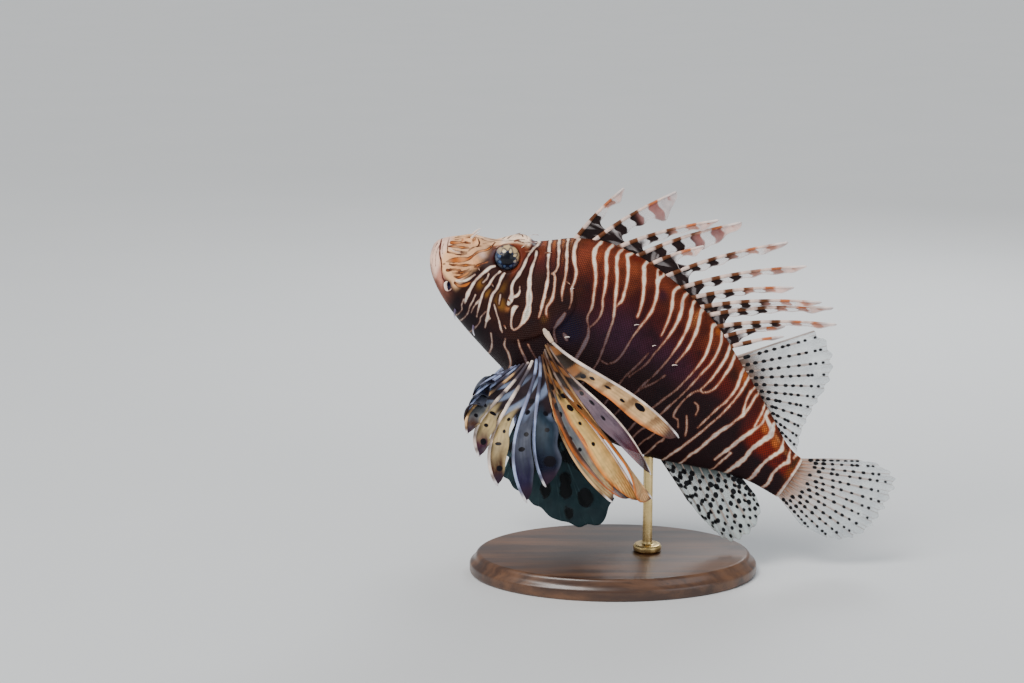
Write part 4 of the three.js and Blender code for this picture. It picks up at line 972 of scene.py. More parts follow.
# Colours of each vane at its middle, towards its end and at its free edge, and of its ray; how clear it is;
# then its dark spots: share of the length, share of the width, length, breadth
VANES = [
    ["cream", "cream", "orange", "pearl", 0.95,
     [(0.42, 0.5, 2.0, 0.9), (0.53, 0.45, 2.4, 0.8), (0.64, 0.6, 1.8, 0.9), (0.36, 0.7, 1.8, 1.4),
      (0.74, 0.3, 3.4, 2.2)]],
    ["mauve", "wine", "mauve", "pearl", 0.72,
     [(0.5, 0.4, 2.0, 0.8), (0.62, 0.5, 1.8, 0.7), (0.4, 0.5, 1.6, 1.0)]],
    ["tan", "cream", "orange", "cream", 0.95,
     [(0.42, 0.5, 2.2, 1.4), (0.52, 0.4, 1.6, 1.1), (0.66, 0.6, 1.2, 0.9)]],
    ["yellow", "yellow", "orange", "pearl", 0.96,
     [(0.45, 0.5, 2.6, 1.8), (0.56, 0.5, 1.3, 1.0), (0.69, 0.55, 1.3, 1.2), (0.36, 0.4, 2.0, 1.6)]],
    ["brown", "grey", "orange", "cream", 0.85, [(0.42, 0.5, 2.6, 1.6), (0.56, 0.6, 1.4, 1.0)]],
    ["grey", "sand", "orange", "cream", 0.9,
     [(0.60, 0.4, 1.3, 1.1), (0.68, 0.55, 1.2, 1.1), (0.45, 0.5, 1.8, 1.4)]],
    ["sea", "night", "smoke", "ice", 0.93,
     [(0.46, 0.6, 1.8, 1.4), (0.60, 0.5, 1.3, 1.4), (0.84, 0.5, 3.0, 3.4)]],
    ["smoke", "indigo", "smoke", "ice", 0.92,
     [(0.44, 0.5, 1.8, 1.4), (0.58, 0.7, 1.3, 1.4), (0.68, 0.45, 1.3, 2.0), (0.36, 0.5, 1.8, 1.6)]],
    ["sand", "brown", "sand", "pearl", 0.95,
     [(0.48, 0.7, 1.4, 1.0), (0.57, 0.65, 1.2, 0.9), (0.67, 0.4, 1.0, 2.0), (0.88, 0.6, 1.6, 1.6)]],
    ["sand", "wine", "sand", "pearl", 0.95,
     [(0.5, 0.5, 1.3, 2.0), (0.64, 0.4, 1.2, 1.2), (0.86, 0.5, 1.8, 1.6)]],
    ["grey", "brown", "sand", "cream", 0.93, [(0.52, 0.5, 1.4, 1.6), (0.7, 0.5, 1.2, 1.2)]],
    ["smoke", "brown", "smoke", "ice", 0.9, [(0.5, 0.5, 1.6, 1.4), (0.7, 0.5, 1.4, 1.2)]],
    ["night", "sea", "smoke", "ice", 0.9, [(0.6, 0.5, 1.6, 1.2)]],
    ["night", "sea", "smoke", "ice", 0.9, [(0.55, 0.5, 1.4, 1.0)]],
]


def breast_ray(number, side):
    t = number / (BREAST_RAYS - 1)
    rooted = float(flank_at(root_x(t), root_z(t))) - 1.8
    start = np.array([root_x(t), side * rooted, root_z(t)], float)
    third, two_thirds, tip = BREAST_PATHS[number][:3]
    outs = (mix(rooted, tip_out(t), 0.42) + 3, mix(rooted, tip_out(t), 0.78) + 4, tip_out(t))
    drop = FAR_FIN_DROP * float(smooth(0.35, 0.9, t)) if side > 0 else 0.0
    points = []
    for (across, up), out, share in zip((third, two_thirds, tip), outs, (0.33, 0.67, 1.0)):
        at = in_view(across, up, float(out))
        at[1] *= -side
        points.append(at + np.array([0.85, 0, -1.0]) * drop * share)
    first, second, end = points
    leave = (-5 * start + 18 * first - 9 * second + 2 * end) / 6
    arrive = (2 * start - 9 * first + 18 * second - 5 * end) / 6
    return lambda v: bezier([start, leave, arrive, end], v)


def plain_marks(paint, solid=1.0):
    """Marks of a rod or flag with its own colour and clearness, without rays or spots."""
    return {"paint": paint, "ray_edge": 5.0, "ray_share": 0.0, "spot_edge": CLEAR_OF_SPOTS, "solid": solid,
            "stiffness": 0.0}


def ray_tube(bm, centre, radius_of, paint_of, sides=8, rows=60):
    """A thin tapering rod along a ray."""
    def surface(u, v):
        along = direction(centre, v)
        helper = np.broadcast_to([0.0, 1.0, 0.0], along.shape)
        first = np.cross(along, helper)
        first /= np.maximum(1e-6, np.linalg.norm(first, axis=1))[:, None]
        second = np.cross(along, first)
        angle = TAU * u
        thin = radius_of(v) * np.sqrt(np.clip((1 - v) / 0.02, 0, 1)) + 0.01
        points = (centre(v) + first * (thin * np.cos(angle))[:, None]
                  + second * (thin * np.sin(angle))[:, None])
        return points, plain_marks(paint_of(v))

    grid = lay_sheet(bm, sides, rows, surface)
    bmesh.ops.remove_doubles(bm, verts=grid, dist=1e-7)


REAR_WEB_END = 0.34
FRONT_WEB_END = 0.42


def web_end_of(number):
    """The share of a ray's length up to which its vane is joined to the next ray."""
    return REAR_WEB_END if number < SPLIT_RAY else FRONT_WEB_END


def vane_shape(number, side):
    """A ray's line, and its vane as a function of the shares of its breadth and of the ray's length."""
    turn = 1 if number < SPLIT_RAY - 1 else -1
    here, there = breast_ray(number, side), breast_ray(number + turn, side)
    fullest = BREAST_PATHS[number][3]
    web_end = web_end_of(number)

    def vane(u, v):
        at, gap = here(v), there(v) - here(v)
        width = np.linalg.norm(gap, axis=1)
        along = direction(here, v)
        outward = np.cross(along, gap) * turn * side
        outward /= np.maximum(1e-6, np.linalg.norm(outward, axis=1))[:, None]
        across = np.cross(outward, along) * turn * side
        across *= np.sign(np.sum(across * gap, axis=1))[:, None]
        web_way = gap / width[:, None]
        free_way = across + outward * 0.42
        loose = smooth(web_end - 0.05, web_end + 0.16, v)
        way = web_way * (1 - loose)[:, None] + free_way * loose[:, None]
        way /= np.linalg.norm(way, axis=1)[:, None]
        swell = mix(0.55, 1, smooth(web_end - 0.05, 0.66, v))
        end = np.sqrt(np.clip(1 - (np.clip(v - 0.80, 0, 1) / 0.185) ** 2, 0, 1))
        frill = 1 + 0.07 * np.sin(v * 19 + number * 1.7) * smooth(0.42, 0.55, v)
        free = fullest * swell * end * frill + 0.12
        full = mix(width, free, smooth(web_end - 0.06, web_end + 0.05, v))
        billow = fullest * 0.10 * np.sin(math.pi * u) * smooth(0.3, 0.6, v) * end
        fold = -0.06 * width * np.sin(math.pi * u) * (1 - loose)
        return at + way * (u * full)[:, None] + outward * (billow + fold)[:, None], full

    return here, vane


def vane_spots(number, vane):
    """Each dark spot's middle, the way the vane runs there, and half the spot's length and breadth."""
    spots = []
    for v, u, length, breadth in VANES[number][5]:
        at = vane(np.array([u]), np.array([v]))[0][0]
        ahead = vane(np.array([u]), np.array([v + 0.01]))[0][0] - at
        spots.append((at, ahead / np.linalg.norm(ahead), length, breadth))
    return spots


def long_spots_edge(points, spots):
    """How far each point is outside the nearest long spot."""
    edge = np.full(len(points), CLEAR_OF_SPOTS)
    for at, along, length, breadth in spots:
        away = points - at
        lengthwise = away @ along
        sideways = np.linalg.norm(away - lengthwise[:, None] * along, axis=1)
        edge = np.minimum(edge, (np.hypot(lengthwise / length, sideways / breadth) - 1) * breadth)
    return edge


def vane_paint(number, u, v, full):
    """A vane's own tints along it, with streaks, a rim, frays, veins, a dark tip and a mottled root."""
    middle, late, rim = (VANE_TINTS[name] for name in VANES[number][:3])
    web_end = web_end_of(number)
    wave = 0.03 * np.sin(9 * u + number)
    paint = blend(middle, late, smooth(0.62, 0.88, v + wave))
    streaks = 0.5 + 0.5 * np.sin(u * full * 2.6 + number)
    paint = blend(paint, np.array(middle) * 0.72, 0.5 * streaks * (1 - smooth(0.7, 0.9, v)))
    paint = blend(paint, rim, 0.85 * smooth(0.72, 1.0, u) * smooth(web_end, web_end + 0.15, v))
    if number < SPLIT_RAY:
        fray = smooth(0.78, 0.94, v) * smooth(0.1, 0.8, np.sin(u * full * 4.4 + 2.5 * np.sin(v * 9)))
        paint = blend(paint, (0.30, 0.055, 0.006), 0.8 * fray)
    veins = smooth(0.55, 0.95, np.sin((1 - u) * full * 3.1 - 14 * v + number)) * smooth(0.4, 0.6, v)
    paint = blend(paint, np.array(middle) * 0.45, 0.38 * veins * (1 - smooth(0.85, 0.95, v)))
    tip = smooth(0.88, 0.95, v) if number > 5 or number < 2 else smooth(0.95, 0.985, v)
    paint = blend(paint, (0.03, 0.015, 0.03), 0.9 * tip)
    base = 1 - smooth(web_end - 0.04, web_end + 0.10, v + 0.04 * np.sin(7 * u + 2 * number))
    if number >= SPLIT_RAY:
        gleam = smooth(0.2, 0.9, np.sin(v * 26 + number * 1.9 + 3 * u)) * smooth(0.1, 0.25, v)
        return blend(paint, blend((0.022, 0.014, 0.018), (0.22, 0.28, 0.42), gleam * 0.8), base)
    mottle = smooth(-0.55, -0.2, np.sin(v * 34 + number * 2.3 + 2.2 * u))
    paint = blend(paint, blend((0.26, 0.10, 0.03), (0.010, 0.004, 0.003), mottle), base * 0.98)
    if number == 0:
        bars = smooth(0.55, 0.8, np.sin(v * 38 + 1.6 * u)) * smooth(web_end, 0.4, v)
        bars = bars * (1 - smooth(0.84, 0.9, v))
        paint = blend(paint, (0.08, 0.028, 0.014), 0.75 * bars * (1 - 0.5 * u))
    return paint * mix(0.8, 1.06, smooth(0.3, 0.75, v))[:, None]


def ray_paint(number, v):
    """A ray's own tint, dark in patches near its root, with a dark ring before its pale tip."""
    own = VANE_TINTS[VANES[number][3]]
    dusk = smooth(0.2, 0.7, np.sin(v * 17 + number * 2.1)) * (0.5 if number > 5 else 0.28)
    colour = blend(own, VANE_TINTS["brown"], dusk * (1 - smooth(0.8, 0.9, v)))
    if number >= SPLIT_RAY:
        shaded = (1 - smooth(0.30, 0.42, v)) * smooth(-0.6, 0.1, np.sin(v * 24 + number * 1.3))
        colour = blend(colour, (0.05, 0.045, 0.07), 0.92 * shaded)
    elif number:
        patchy = 0.82 + 0.16 * smooth(-0.3, 0.3, np.sin(v * 31 + number * 1.3))
        colour = blend(colour, VANE_TINTS["brown"], patchy * (1 - smooth(0.26, 0.44, v)))
    ring = smooth(0.89, 0.92, v) * (1 - smooth(0.95, 0.965, v))
    colour = blend(colour, (0.05, 0.02, 0.03), 0.7 * ring)
    return blend(colour, (0.95, 0.90, 0.90), smooth(0.945, 0.96, v))


def shoulder_knob(bm, ray, side):
    """The pale knob on which the first ray turns."""
    root, _, end = ray(np.array([0.0, 0.035, 0.07]))
    path = [root + [-3.5, side * 0.5, 3.2], root + [-1, side * 2.6, 1.5], end]
    ray_tube(bm, lambda v: bezier(path, v), lambda v: 2.1 * (1 - 0.55 * v) * np.sqrt(np.clip(v / 0.12, 0, 1)),
             lambda v: blend((0.86, 0.72, 0.58), (0.80, 0.56, 0.40), v), sides=16, rows=24)


def breast_fin(side, word, numbers, material, node):
    bm = new_bmesh(FIN_COLOURS, FIN_NUMBERS)
    for number in numbers:
        ray_width = BREAST_PATHS[number][4]
        clear = VANES[number][4]
        ray, vane = vane_shape(number, side)
        spots = vane_spots(number, vane)

        def surface(u, v):
            points, full = vane(u, v)
            edge = long_spots_edge(points, spots)
            return points, {
                "paint": vane_paint(number, u, v, full),
                "ray_edge": u * full - ray_width * 0.35, "ray_share": 0.0,
                "spot_edge": np.where(v > 0.34, edge, edge + 2 * smooth(0.34, 0.30, v)),
                "solid": mix(1.0, clear, smooth(0.3, 0.5, v)), "stiffness": 0.0,
            }

        lay_sheet(bm, 16, 100, surface)
        ray_tube(bm, ray, lambda v: ray_width * mix(0.62, 0.40, v) * mix(0.72, 1, smooth(0.1, 0.4, v)),
                 lambda v: ray_paint(number, v))
        if number == 0:
            shoulder_knob(bm, ray, side)
    return finish_piece(f"breast_fin_{word}", bm, material, (node,), 0.4, 0.4)


# Spines of the back fin: station of the base, station and height of the tip, widest membrane
BACK_SPINES = [
    [65, 72, 87.5, 7], [73, 98, 101, 9], [85, 126, 100.5, 6], [97, 138, 106, 9], [106, 127, 84, 6],
    [117, 166, 110.5, 6], [127, 181.5, 105, 5.5], [135, 183, 91, 5], [142, 200, 92.5, 5], [148, 208, 93, 5],
    [156, 214, 86.5, 4.5], [163, 191, 70, 3.5], [169.5, 193, 65, 2.2],
]
SPINE_ROOT = 4
BAND_SPACING = 11.0
BROAD_FLAGS = (1, 3)


def back_spine(k):
    x, end_x, end_z, _ = BACK_SPINES[k]
    start = np.array([x, 0, float(back_line(x)) - SPINE_ROOT])
    end = np.array([end_x, (1 if k % 2 else -1) * 1.6, end_z], float)
    chord = end - start
    length = np.linalg.norm(chord)
    forward = np.array([-chord[2], 0, chord[0]]) / length
    bend = start + chord * 0.42 + forward * length * 0.075
    return (lambda v: bezier([start, bend, end], v)), length


def spine_bands(v, length, phase):
    """0 on the pale bands, 1 on the dark ones."""
    return smooth(-0.1, 0.25, np.sin(TAU * (v * length / BAND_SPACING + phase)))


def spine_shaft(line, length, phase):
    def surface(u, v):
        upward = np.cross(direction(line, v), [0.0, 1.0, 0.0])
        radius = mix(1.25, 0.42, v ** 0.9) * np.maximum(0.02, 1 - smooth(0.985, 1.0, v))
        angle = TAU * u
        points = line(v) + upward * (radius * np.sin(angle))[:, None]
        points[:, 1] += radius * np.cos(angle)
        bands = spine_bands(v, length, phase)
        dark = bands * (1 - smooth(0.6, 0.72, v))
        rosy = bands * smooth(0.6, 0.72, v) * (1 - smooth(0.88, 0.97, v))
        paint = blend((0.80, 0.60, 0.52), (0.13, 0.045, 0.018), dark)
        paint = blend(paint, (0.50, 0.15, 0.06), rosy)
        paint = blend(paint, (0.90, 0.78, 0.74), smooth(0.84, 0.93, v))
        return points, plain_marks(paint)

    return surface


def spine_flag(k, line, length, next_line, phase):
    """The membrane behind a spine: joined to the next spine low down, a free flag above."""
    widest = BACK_SPINES[k][3]
    broad = k in BROAD_FLAGS
    lobe_at, lobe_depth = (0.82, 0.75) if k == 1 else (0.72, 0.4)
    web_top = (SPINE_ROOT + mix(13, 9, k / 12)) / length

    def breadth(v):
        swell = 0.60 + 0.40 * np.sin(math.pi * np.clip(v * 1.25 - 0.2, 0, 1))
        slim = 1.0 if broad else mix(1.0, 0.66, smooth(0.35, 0.7, v)) + 0.42 * hump(v - 0.87, 0.08)
        lobe = widest * lobe_depth * hump(v - lobe_at, 0.10) if broad else 0 * v
        wave = 1 + 0.13 * np.sin(v * length * 0.57 + k) * smooth(web_top, web_top + 0.1, v)
        end = np.sqrt(np.clip(1 - (np.clip(v - 0.9, 0, 1) / 0.1) ** 2, 0, 1))
        return (widest * swell * slim * wave + lobe) * end * (0.8 if k else 0.7) + 0.1

    def tints(u, v, full):
        place = (v + 0.012 * np.sin(7 * u)) * length / BAND_SPACING + phase
        patch = np.sin(TAU * place) - 0.5 * np.abs(u - 0.35)
        dark = smooth(-0.25, 0.05, patch) * (1 - smooth(0.58, 0.68, v))
        low = 1 - smooth(web_top * 0.95, web_top * 1.4, v + 0.03 * np.sin(5 * u + k))
        cloudy = 0.75 + 0.25 * smooth(-0.5, 0.3, np.sin(v * length * 0.8 + 5 * u + k))
        dark = np.maximum(dark, low * cloudy)
        rosy = smooth(-0.3, 0.1, patch) * smooth(0.55, 0.66, v) * (1 - smooth(0.90, 0.96, v))
        paint = blend((0.66, 0.58, 0.58), (0.016, 0.008, 0.008), np.clip(dark, 0, 1))
        paint = blend(paint, (0.86, 0.62, 0.56), smooth(0.80, 0.86, v) * (0 if k == 1 else 1))
        paint = blend(paint, (0.30, 0.085, 0.07) if broad else (0.42, 0.16, 0.10), rosy * (1 - 0.3 * u))
        rim = (1 - smooth(0.25, 0.6, (1 - u) * full)) * smooth(web_top, web_top + 0.1, v)
        paint = blend(paint, (0.80, 0.70, 0.68), rim * (1 - 0.8 * dark))
        solid = np.clip(0.16 + 0.82 * dark + 0.62 * rosy + 0.5 * rim + 0.6 * smooth(0.8, 0.88, v), 0, 0.98)
        return paint, solid

    def surface(u, v):
        along = direction(line, v)
        trail = np.stack([along[:, 2], 0 * v, -along[:, 0]], 1)
        gap = next_line(np.minimum(1, v)) - line(v)
        reach = np.linalg.norm(gap, axis=1)
        to_next = gap / np.maximum(1e-6, reach)[:, None]
        inside = (1 - smooth(web_top * 0.55, web_top * 1.35, v)) * (k < len(BACK_SPINES) - 1)
        way = trail * (1 - inside)[:, None] + to_next * inside[:, None]
        way /= np.linalg.norm(way, axis=1)[:, None]
        full = mix(breadth(v), reach, inside)
        points = line(v) + way * (u * full)[:, None]
        points[:, 1] += 0.5 * np.sin(v * 17 + 2 * k) * u * smooth(web_top, web_top + 0.15, v)
        return points, plain_marks(*tints(u, v, full))

    return surface


def spiny_back_fin(material):
    bm = new_bmesh(FIN_COLOURS, FIN_NUMBERS)
    for k in range(len(BACK_SPINES)):
        line, length = back_spine(k)
        next_line = back_spine(min(k + 1, len(BACK_SPINES) - 1))[0]
        phase = np.random.default_rng(70 + k).uniform(0, 1)
        grid = lay_sheet(bm, 12, 70, spine_shaft(line, length, phase))
        bmesh.ops.remove_doubles(bm, verts=grid, dist=1e-7)
        lay_sheet(bm, 12, 130, spine_flag(k, line, length, next_line, phase))
    return finish_piece("spiny_back_fin", bm, material, ("back_fin_spiny",), 0.3, 0.3)


# Small cones and tags of the head, joined into the skin
CONE_ROOT = 1.6


def cone(bm, root, way, length, radius):
    def surface(u, v):
        along = way / np.linalg.norm(way)
        helper = np.array([0.0, 0.0, 1.0]) if abs(along[2]) < 0.9 else np.array([1.0, 0.0, 0.0])
        first = np.cross(along, helper)
        first /= np.linalg.norm(first)
        second = np.cross(along, first)
        thin = radius * (1 - v ** 1.4) + 0.02
        angle = TAU * u
        points = (root + along * mix(-CONE_ROOT, length, v)[:, None]
                  + first * (thin * np.cos(angle))[:, None]
                  + second * (thin * np.sin(angle))[:, None])
        colour = blend((0.16, 0.06, 0.035), (0.62, 0.44, 0.34), smooth(0.5, 1, v))
        return points, unlined(colour)

    lay_sheet(bm, 8, 6, surface)


# Station, angle, length, and the way the spine leans: back, outward, up
HEAD_SPINES = [
    [29, 55, 4, 0.5, 0.3, 0.9], [37, 62, 4.5, 0.6, 0.2, 0.9], [45, 55, 4.5, 0.8, 0.3, 0.8],
    [55, 58, 4, 0.8, 0.4, 0.7], [27, 18, 3.5, 0.6, 1, -0.3], [38, 8, 3.5, 0.6, 1, -0.3],
    [50, 3, 4, 0.6, 1, -0.2], [56, -20, 4, 0.6, 1, -0.3], [72, 34, 4, 0.8, 0.8, 0.1],
]
# Station, angle, rise, backward bend, width, and whether it is dark
SKIN_TAGS = [
    [15.5, 62, 6, 2.5, 1.6, 0], [29, -58, -5, 3, 1.8, 1], [42, -50, -4.5, 3.5, 1.8, 1],
    [116, 29, 1.6, 2.2, 1.0, 0], [131, 24.5, 1.2, 1.4, 0.9, 0], [146.5, 22, 1.4, 2.4, 1.0, 0],
    [75, 31, 1.2, 1.6, 0.9, 0], [87, 2, 1.2, 1.8, 1.6, 0],
]


def skin_tag(bm, spec, side):
    x, level, rise, back, width, dark = spec
    root = on_flank(x, level, side)
    start = root + [0, -side * 0.8, -np.sign(rise) * 1.2]
    bend = root + [0.3, side * 1.0, rise * 0.6]
    end = root + [back, side * 1.4, rise]

    def surface(u, v):
        t = np.clip(v, 0, 1)
        at = bezier([start, bend, end], t)
        angle = TAU * u
        thin = width * 0.5 * (1 - 0.6 * t) * (1 - smooth(0.93, 1, t) * 0.9)
        points = at + column(thin * np.cos(angle), 0.5 * thin * np.sin(angle), 0.3 * thin * np.sin(angle))
        colours = ((0.10, 0.08, 0.14), (0.75, 0.76, 0.86)) if dark else ((0.75, 0.6, 0.5), (0.9, 0.85, 0.85))
        colour = blend(colours[0], colours[1], smooth(0.3, 0.9, t) if dark else t)
        return points, unlined(colour)

    lay_sheet(bm, 8, 12, surface)


# The pale flap that curls round the pit behind the mouth: station and angle
LIP_CURL = [[16.4, -31], [15.6, -43], [21.4, -52], [20.6, -33]]


def lip_curl(bm, side):
    path = [on_flank(x, level, side) + [0, side * 0.5, 0] for x, level in LIP_CURL]

    def surface(u, v):
        angle = TAU * u
        thin = 0.62 * np.sqrt(np.clip(v / 0.06, 0, 1)) * np.sqrt(np.clip((1 - v) / 0.3, 0, 1)) + 0.02
        points = bezier(path, v) + column(thin * np.cos(angle), thin * np.sin(angle), thin * np.cos(angle))
        return points, unlined(blend((0.95, 0.82, 0.76), (0.70, 0.45, 0.38), v))

    lay_sheet(bm, 8, 24, surface)


def skin_piece():
    rng = np.random.default_rng(2)
    white = Strokes(WHITE_LINES, white_tone)
    brown = Strokes(BROWN_LINES, lambda x, degrees: 0.8 + 0.2 * np.sin(x))
    # the mouth's groove: cut into the skin, and painted dark as painted shade
    crease = Strokes([MOUTH_CREASE], lambda x, degrees: 1 + 0 * x)
    bm = new_bmesh(("paint",), SKIN_NUMBERS)
    lay_sheet(bm, SKIN_COLUMNS, SKIN_ROWS, skin_surface(white, brown, crease, rng))
    for side in (-1, 1):
        for x, level, length, back, out, up in HEAD_SPINES:
            cone(bm, on_flank(x, level, side), np.array([back, side * out, up]), length * 0.6, 0.8)
        for tag in SKIN_TAGS:
            skin_tag(bm, tag, side)
        lip_curl(bm, side)
    bmesh.ops.remove_doubles(bm, verts=bm.verts, dist=2e-6)
    bmesh.ops.recalc_face_normals(bm, faces=bm.faces)
    return finish_piece("skin", bm, skin_finish(), ("head", "lower_jaw", "trunk", "tail"))


def brow_feeler(side, word, material):
    root = on_flank(41, 57, side)
    start, bend, end = root + [-0.5, -side, -2.5], root + [2, side, 6], root + [7, side * 2, 7]

    def surface(u, v):
        at = bezier([start, bend, end], v)
        angle = TAU * u
        thin = mix(0.95, 0.35, v) * (1 - smooth(0.93, 1, v) * 0.9)
        points = at + column(0.5 * thin * np.cos(angle), thin * np.sin(angle), 0.6 * thin * np.cos(angle))
        bands = smooth(-0.2, 0.2, np.sin(v * 22))
        return points, plain_marks(blend((0.85, 0.72, 0.62), (0.30, 0.12, 0.07), bands))

    bm = new_bmesh(FIN_COLOURS, FIN_NUMBERS)
    lay_sheet(bm, 12, 28, surface)
    bmesh.ops.remove_doubles(bm, verts=bm.verts, dist=1e-7)
    bmesh.ops.recalc_face_normals(bm, faces=bm.faces)
    return finish_piece(f"brow_tag_{word}", bm, material, (f"brow_feeler_{word}",))


# Eyes
def eye_finish():
    eye = Finish("glossy_eye")
    off_axis = eye.read("off_axis")["Fac"]
    clock = eye.read("clock")["Fac"]
    wobble = eye.math("MULTIPLY_ADD", eye.noise(420, 3), 1.6, -0.8)
    away = eye.math("ADD", off_axis, eye.times(wobble, 0.5))
    turn = eye.math("ADD", clock, eye.times(wobble, 0.35))
    spokes = eye.math("SINE", eye.times(turn, 8.0))
    upper = eye.ramp(eye.math("SINE", clock), -0.2, 0.6)

    def off_ring(radius):
        return eye.math("DIVIDE", eye.math("ABSOLUTE", eye.math("SUBTRACT", away, radius)), 1.1)

    inner_ring = eye.math("SUBTRACT", spokes, off_ring(4.5))
    outer_ring = eye.math("SUBTRACT", eye.times(spokes, -0.7), off_ring(6.4))
    light = eye.mix(upper, (0.08, 0.13, 0.25), (0.78, 0.60, 0.33))
    iris = eye.mix(eye.ramp(inner_ring, -0.55, 0.5), (0.012, 0.018, 0.050), light)
    iris = eye.mix(eye.ramp(outer_ring, -1.35, -0.1), iris,
                   eye.mix(upper, (0.15, 0.18, 0.24), (0.62, 0.44, 0.23)))
    iris = eye.mix(eye.ramp(away, 3.9, 3.5), iris, (0.0012, 0.0015, 0.006))
    iris = eye.mix(eye.ramp(away, 6.8, 7.4), iris, (0.16, 0.07, 0.04))
    eye.put(eye.shader.inputs["Base Color"], iris)
    eye.shader.inputs["Roughness"].default_value = 0.3
    eye.shader.inputs["Specular IOR Level"].default_value = 0.2
    eye.shader.inputs["Coat Weight"].default_value = 0.22
    eye.shader.inputs["Coat Roughness"].default_value = 0.05
    return eye.material


def eye_ball(side, word, material):
    bm = bmesh.new()
    clock = bm.verts.layers.float.new("clock")
    off_axis = bm.verts.layers.float.new("off_axis")
    bmesh.ops.create_icosphere(bm, subdivisions=5, radius=1)
    centre = np.array([EYE["x"], side * EYE["y"], EYE["z"]])
    points = []
    for vert in bm.verts:
        x, y, z = vert.co
        lens = 1 + 0.05 * math.exp(-((math.hypot(x, z) / 0.5) ** 2)) * (side * y > 0)
        points.append(centre + np.array([x, y * lens, z]) * EYE["radius"])
        vert[clock] = math.atan2(z, x)
        vert[off_axis] = math.hypot(x, z) * EYE["radius"] if side * y > 0 else 9.0
    for vert, point in zip(bm.verts, to_row(np.array(points))):
        vert.co = point
    return finish_piece(f"eye_ball_{word}", bm, material, (f"eye_{word}",))


# Stand
FOOT = {"length": 164, "width": 112, "height": 12}
ROD = {"x": 19.6, "radius": 2.75, "collar": 8, "collar_height": 4}


def turned(name, profile, material, node, shape=(1, 1), centre=(0, 0)):
    """A turned piece: its half profile is spun round the upright axis."""
    bm = bmesh.new()
    verts = [bm.verts.new((radius / 1000, 0, height / 1000)) for radius, height in profile]
    edges = [bm.edges.new(pair) for pair in zip(verts, verts[1:])]
    bmesh.ops.spin(bm, geom=verts + edges, cent=(0, 0, 0), axis=(0, 0, 1), angle=TAU, steps=144,
                   use_merge=True)
    bmesh.ops.remove_doubles(bm, verts=bm.verts, dist=1e-7)
    bmesh.ops.recalc_face_normals(bm, faces=bm.faces)
    bmesh.ops.scale(bm, vec=(shape[0], shape[1], 1), verts=bm.verts)
    bmesh.ops.translate(bm, vec=(centre[0] / 1000, centre[1] / 1000, 0), verts=bm.verts)
    return finish_piece(name, bm, material, (node,))


def rounded(profile, steps=6):
    """Rounds every corner of a half profile a little."""
    out = [profile[0]]
    for before, here, after in zip(profile, profile[1:], profile[2:]):
        before, here, after = (np.array(p, float) for p in (before, here, after))
        cut = min(1.2, 0.45 * np.linalg.norm(here - before), 0.45 * np.linalg.norm(after - here))
        start = here + (before - here) / np.linalg.norm(before - here) * cut
        end = here + (after - here) / np.linalg.norm(after - here) * cut
        for t in np.linspace(0, 1, steps):
            out.append(tuple((1 - t) ** 2 * start + 2 * t * (1 - t) * here + t ** 2 * end))
    out.append(profile[-1])
    return out


def walnut_finish():
    wood = Finish("dark_walnut")
    mapping = wood.node("ShaderNodeMapping")
    mapping.inputs["Scale"].default_value = (6, 70, 40)
    wood.put(mapping.inputs["Vector"], wood.place())
    grain = wood.noise(1.6, 6, 0.62, mapping.outputs[0])
    pores = wood.node("ShaderNodeMapping")
    pores.inputs["Scale"].default_value = (60, 1400, 900)
    wood.put(pores.inputs["Vector"], wood.place())
    flecks = wood.noise(1.0, 2, 0.5, pores.outputs[0])
    colour = wood.mix(wood.ramp(grain, 0.35, 0.68), (0.045, 0.018, 0.009), (0.15, 0.065, 0.028))
    colour = wood.mix(wood.ramp(flecks, 0.62, 0.75, 0.0, 0.6), colour, (0.018, 0.007, 0.004))
    wood.put(wood.shader.inputs["Base Color"], colour)
    wood.put(wood.shader.inputs["Roughness"], wood.ramp(grain, 0.2, 0.8, 0.30, 0.44))
    wood.shader.inputs["Coat Weight"].default_value = 0.35
    wood.shader.inputs["Coat Roughness"].default_value = 0.18
    wood.put(wood.shader.inputs["Normal"], wood.bump(flecks, 0.0002, 0.25))
    return wood.material


def brass_finish():
    brass = Finish("satin_brass")
    mapping = brass.node("ShaderNodeMapping")
    mapping.inputs["Scale"].default_value = (300, 300, 4000)
    brass.put(mapping.inputs["Vector"], brass.place())
    scratches = brass.noise(1.0, 3, 0.6, mapping.outputs[0])
    cloud = brass.noise(120, 3)
    colour = brass.mix(brass.ramp(cloud, 0.3, 0.7), (0.62, 0.44, 0.18), (0.76, 0.57, 0.27))
    brass.put(brass.shader.inputs["Base Color"], colour)
    brass.shader.inputs["Metallic"].default_value = 1.0
    brass.put(brass.shader.inputs["Roughness"], brass.ramp(scratches, 0.2, 0.8, 0.22, 0.36))
    brass.put(brass.shader.inputs["Normal"], brass.bump(scratches, 0.0001, 0.15))
    return brass.material


def stand():
    edge, height = FOOT["length"] / 2, FOOT["height"]
    foot = [(0, 0), (edge - 1, 0), (edge, 1.2), (edge, 6), (edge - 2.5, 8), (edge - 4, height - 1),
            (edge - 5.5, height), (0, height)]
    turned("stand_foot_turned", rounded(foot), walnut_finish(), "stand_foot",
           (1, FOOT["width"] / FOOT["length"]))
    low = height + 0.3
    _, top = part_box("stand_rod")
    high = top[2] * 1000
    rod = [(0, low), (ROD["collar"], low), (ROD["collar"], low + 3), (ROD["collar"] - 1, low + 4),
           (ROD["radius"] + 0.6, low + 4), (ROD["radius"], low + 5.2), (ROD["radius"], high), (0, high)]
    turned("stand_rod_turned", rounded(rod), brass_finish(), "stand_rod", centre=(ROD["x"], 0))


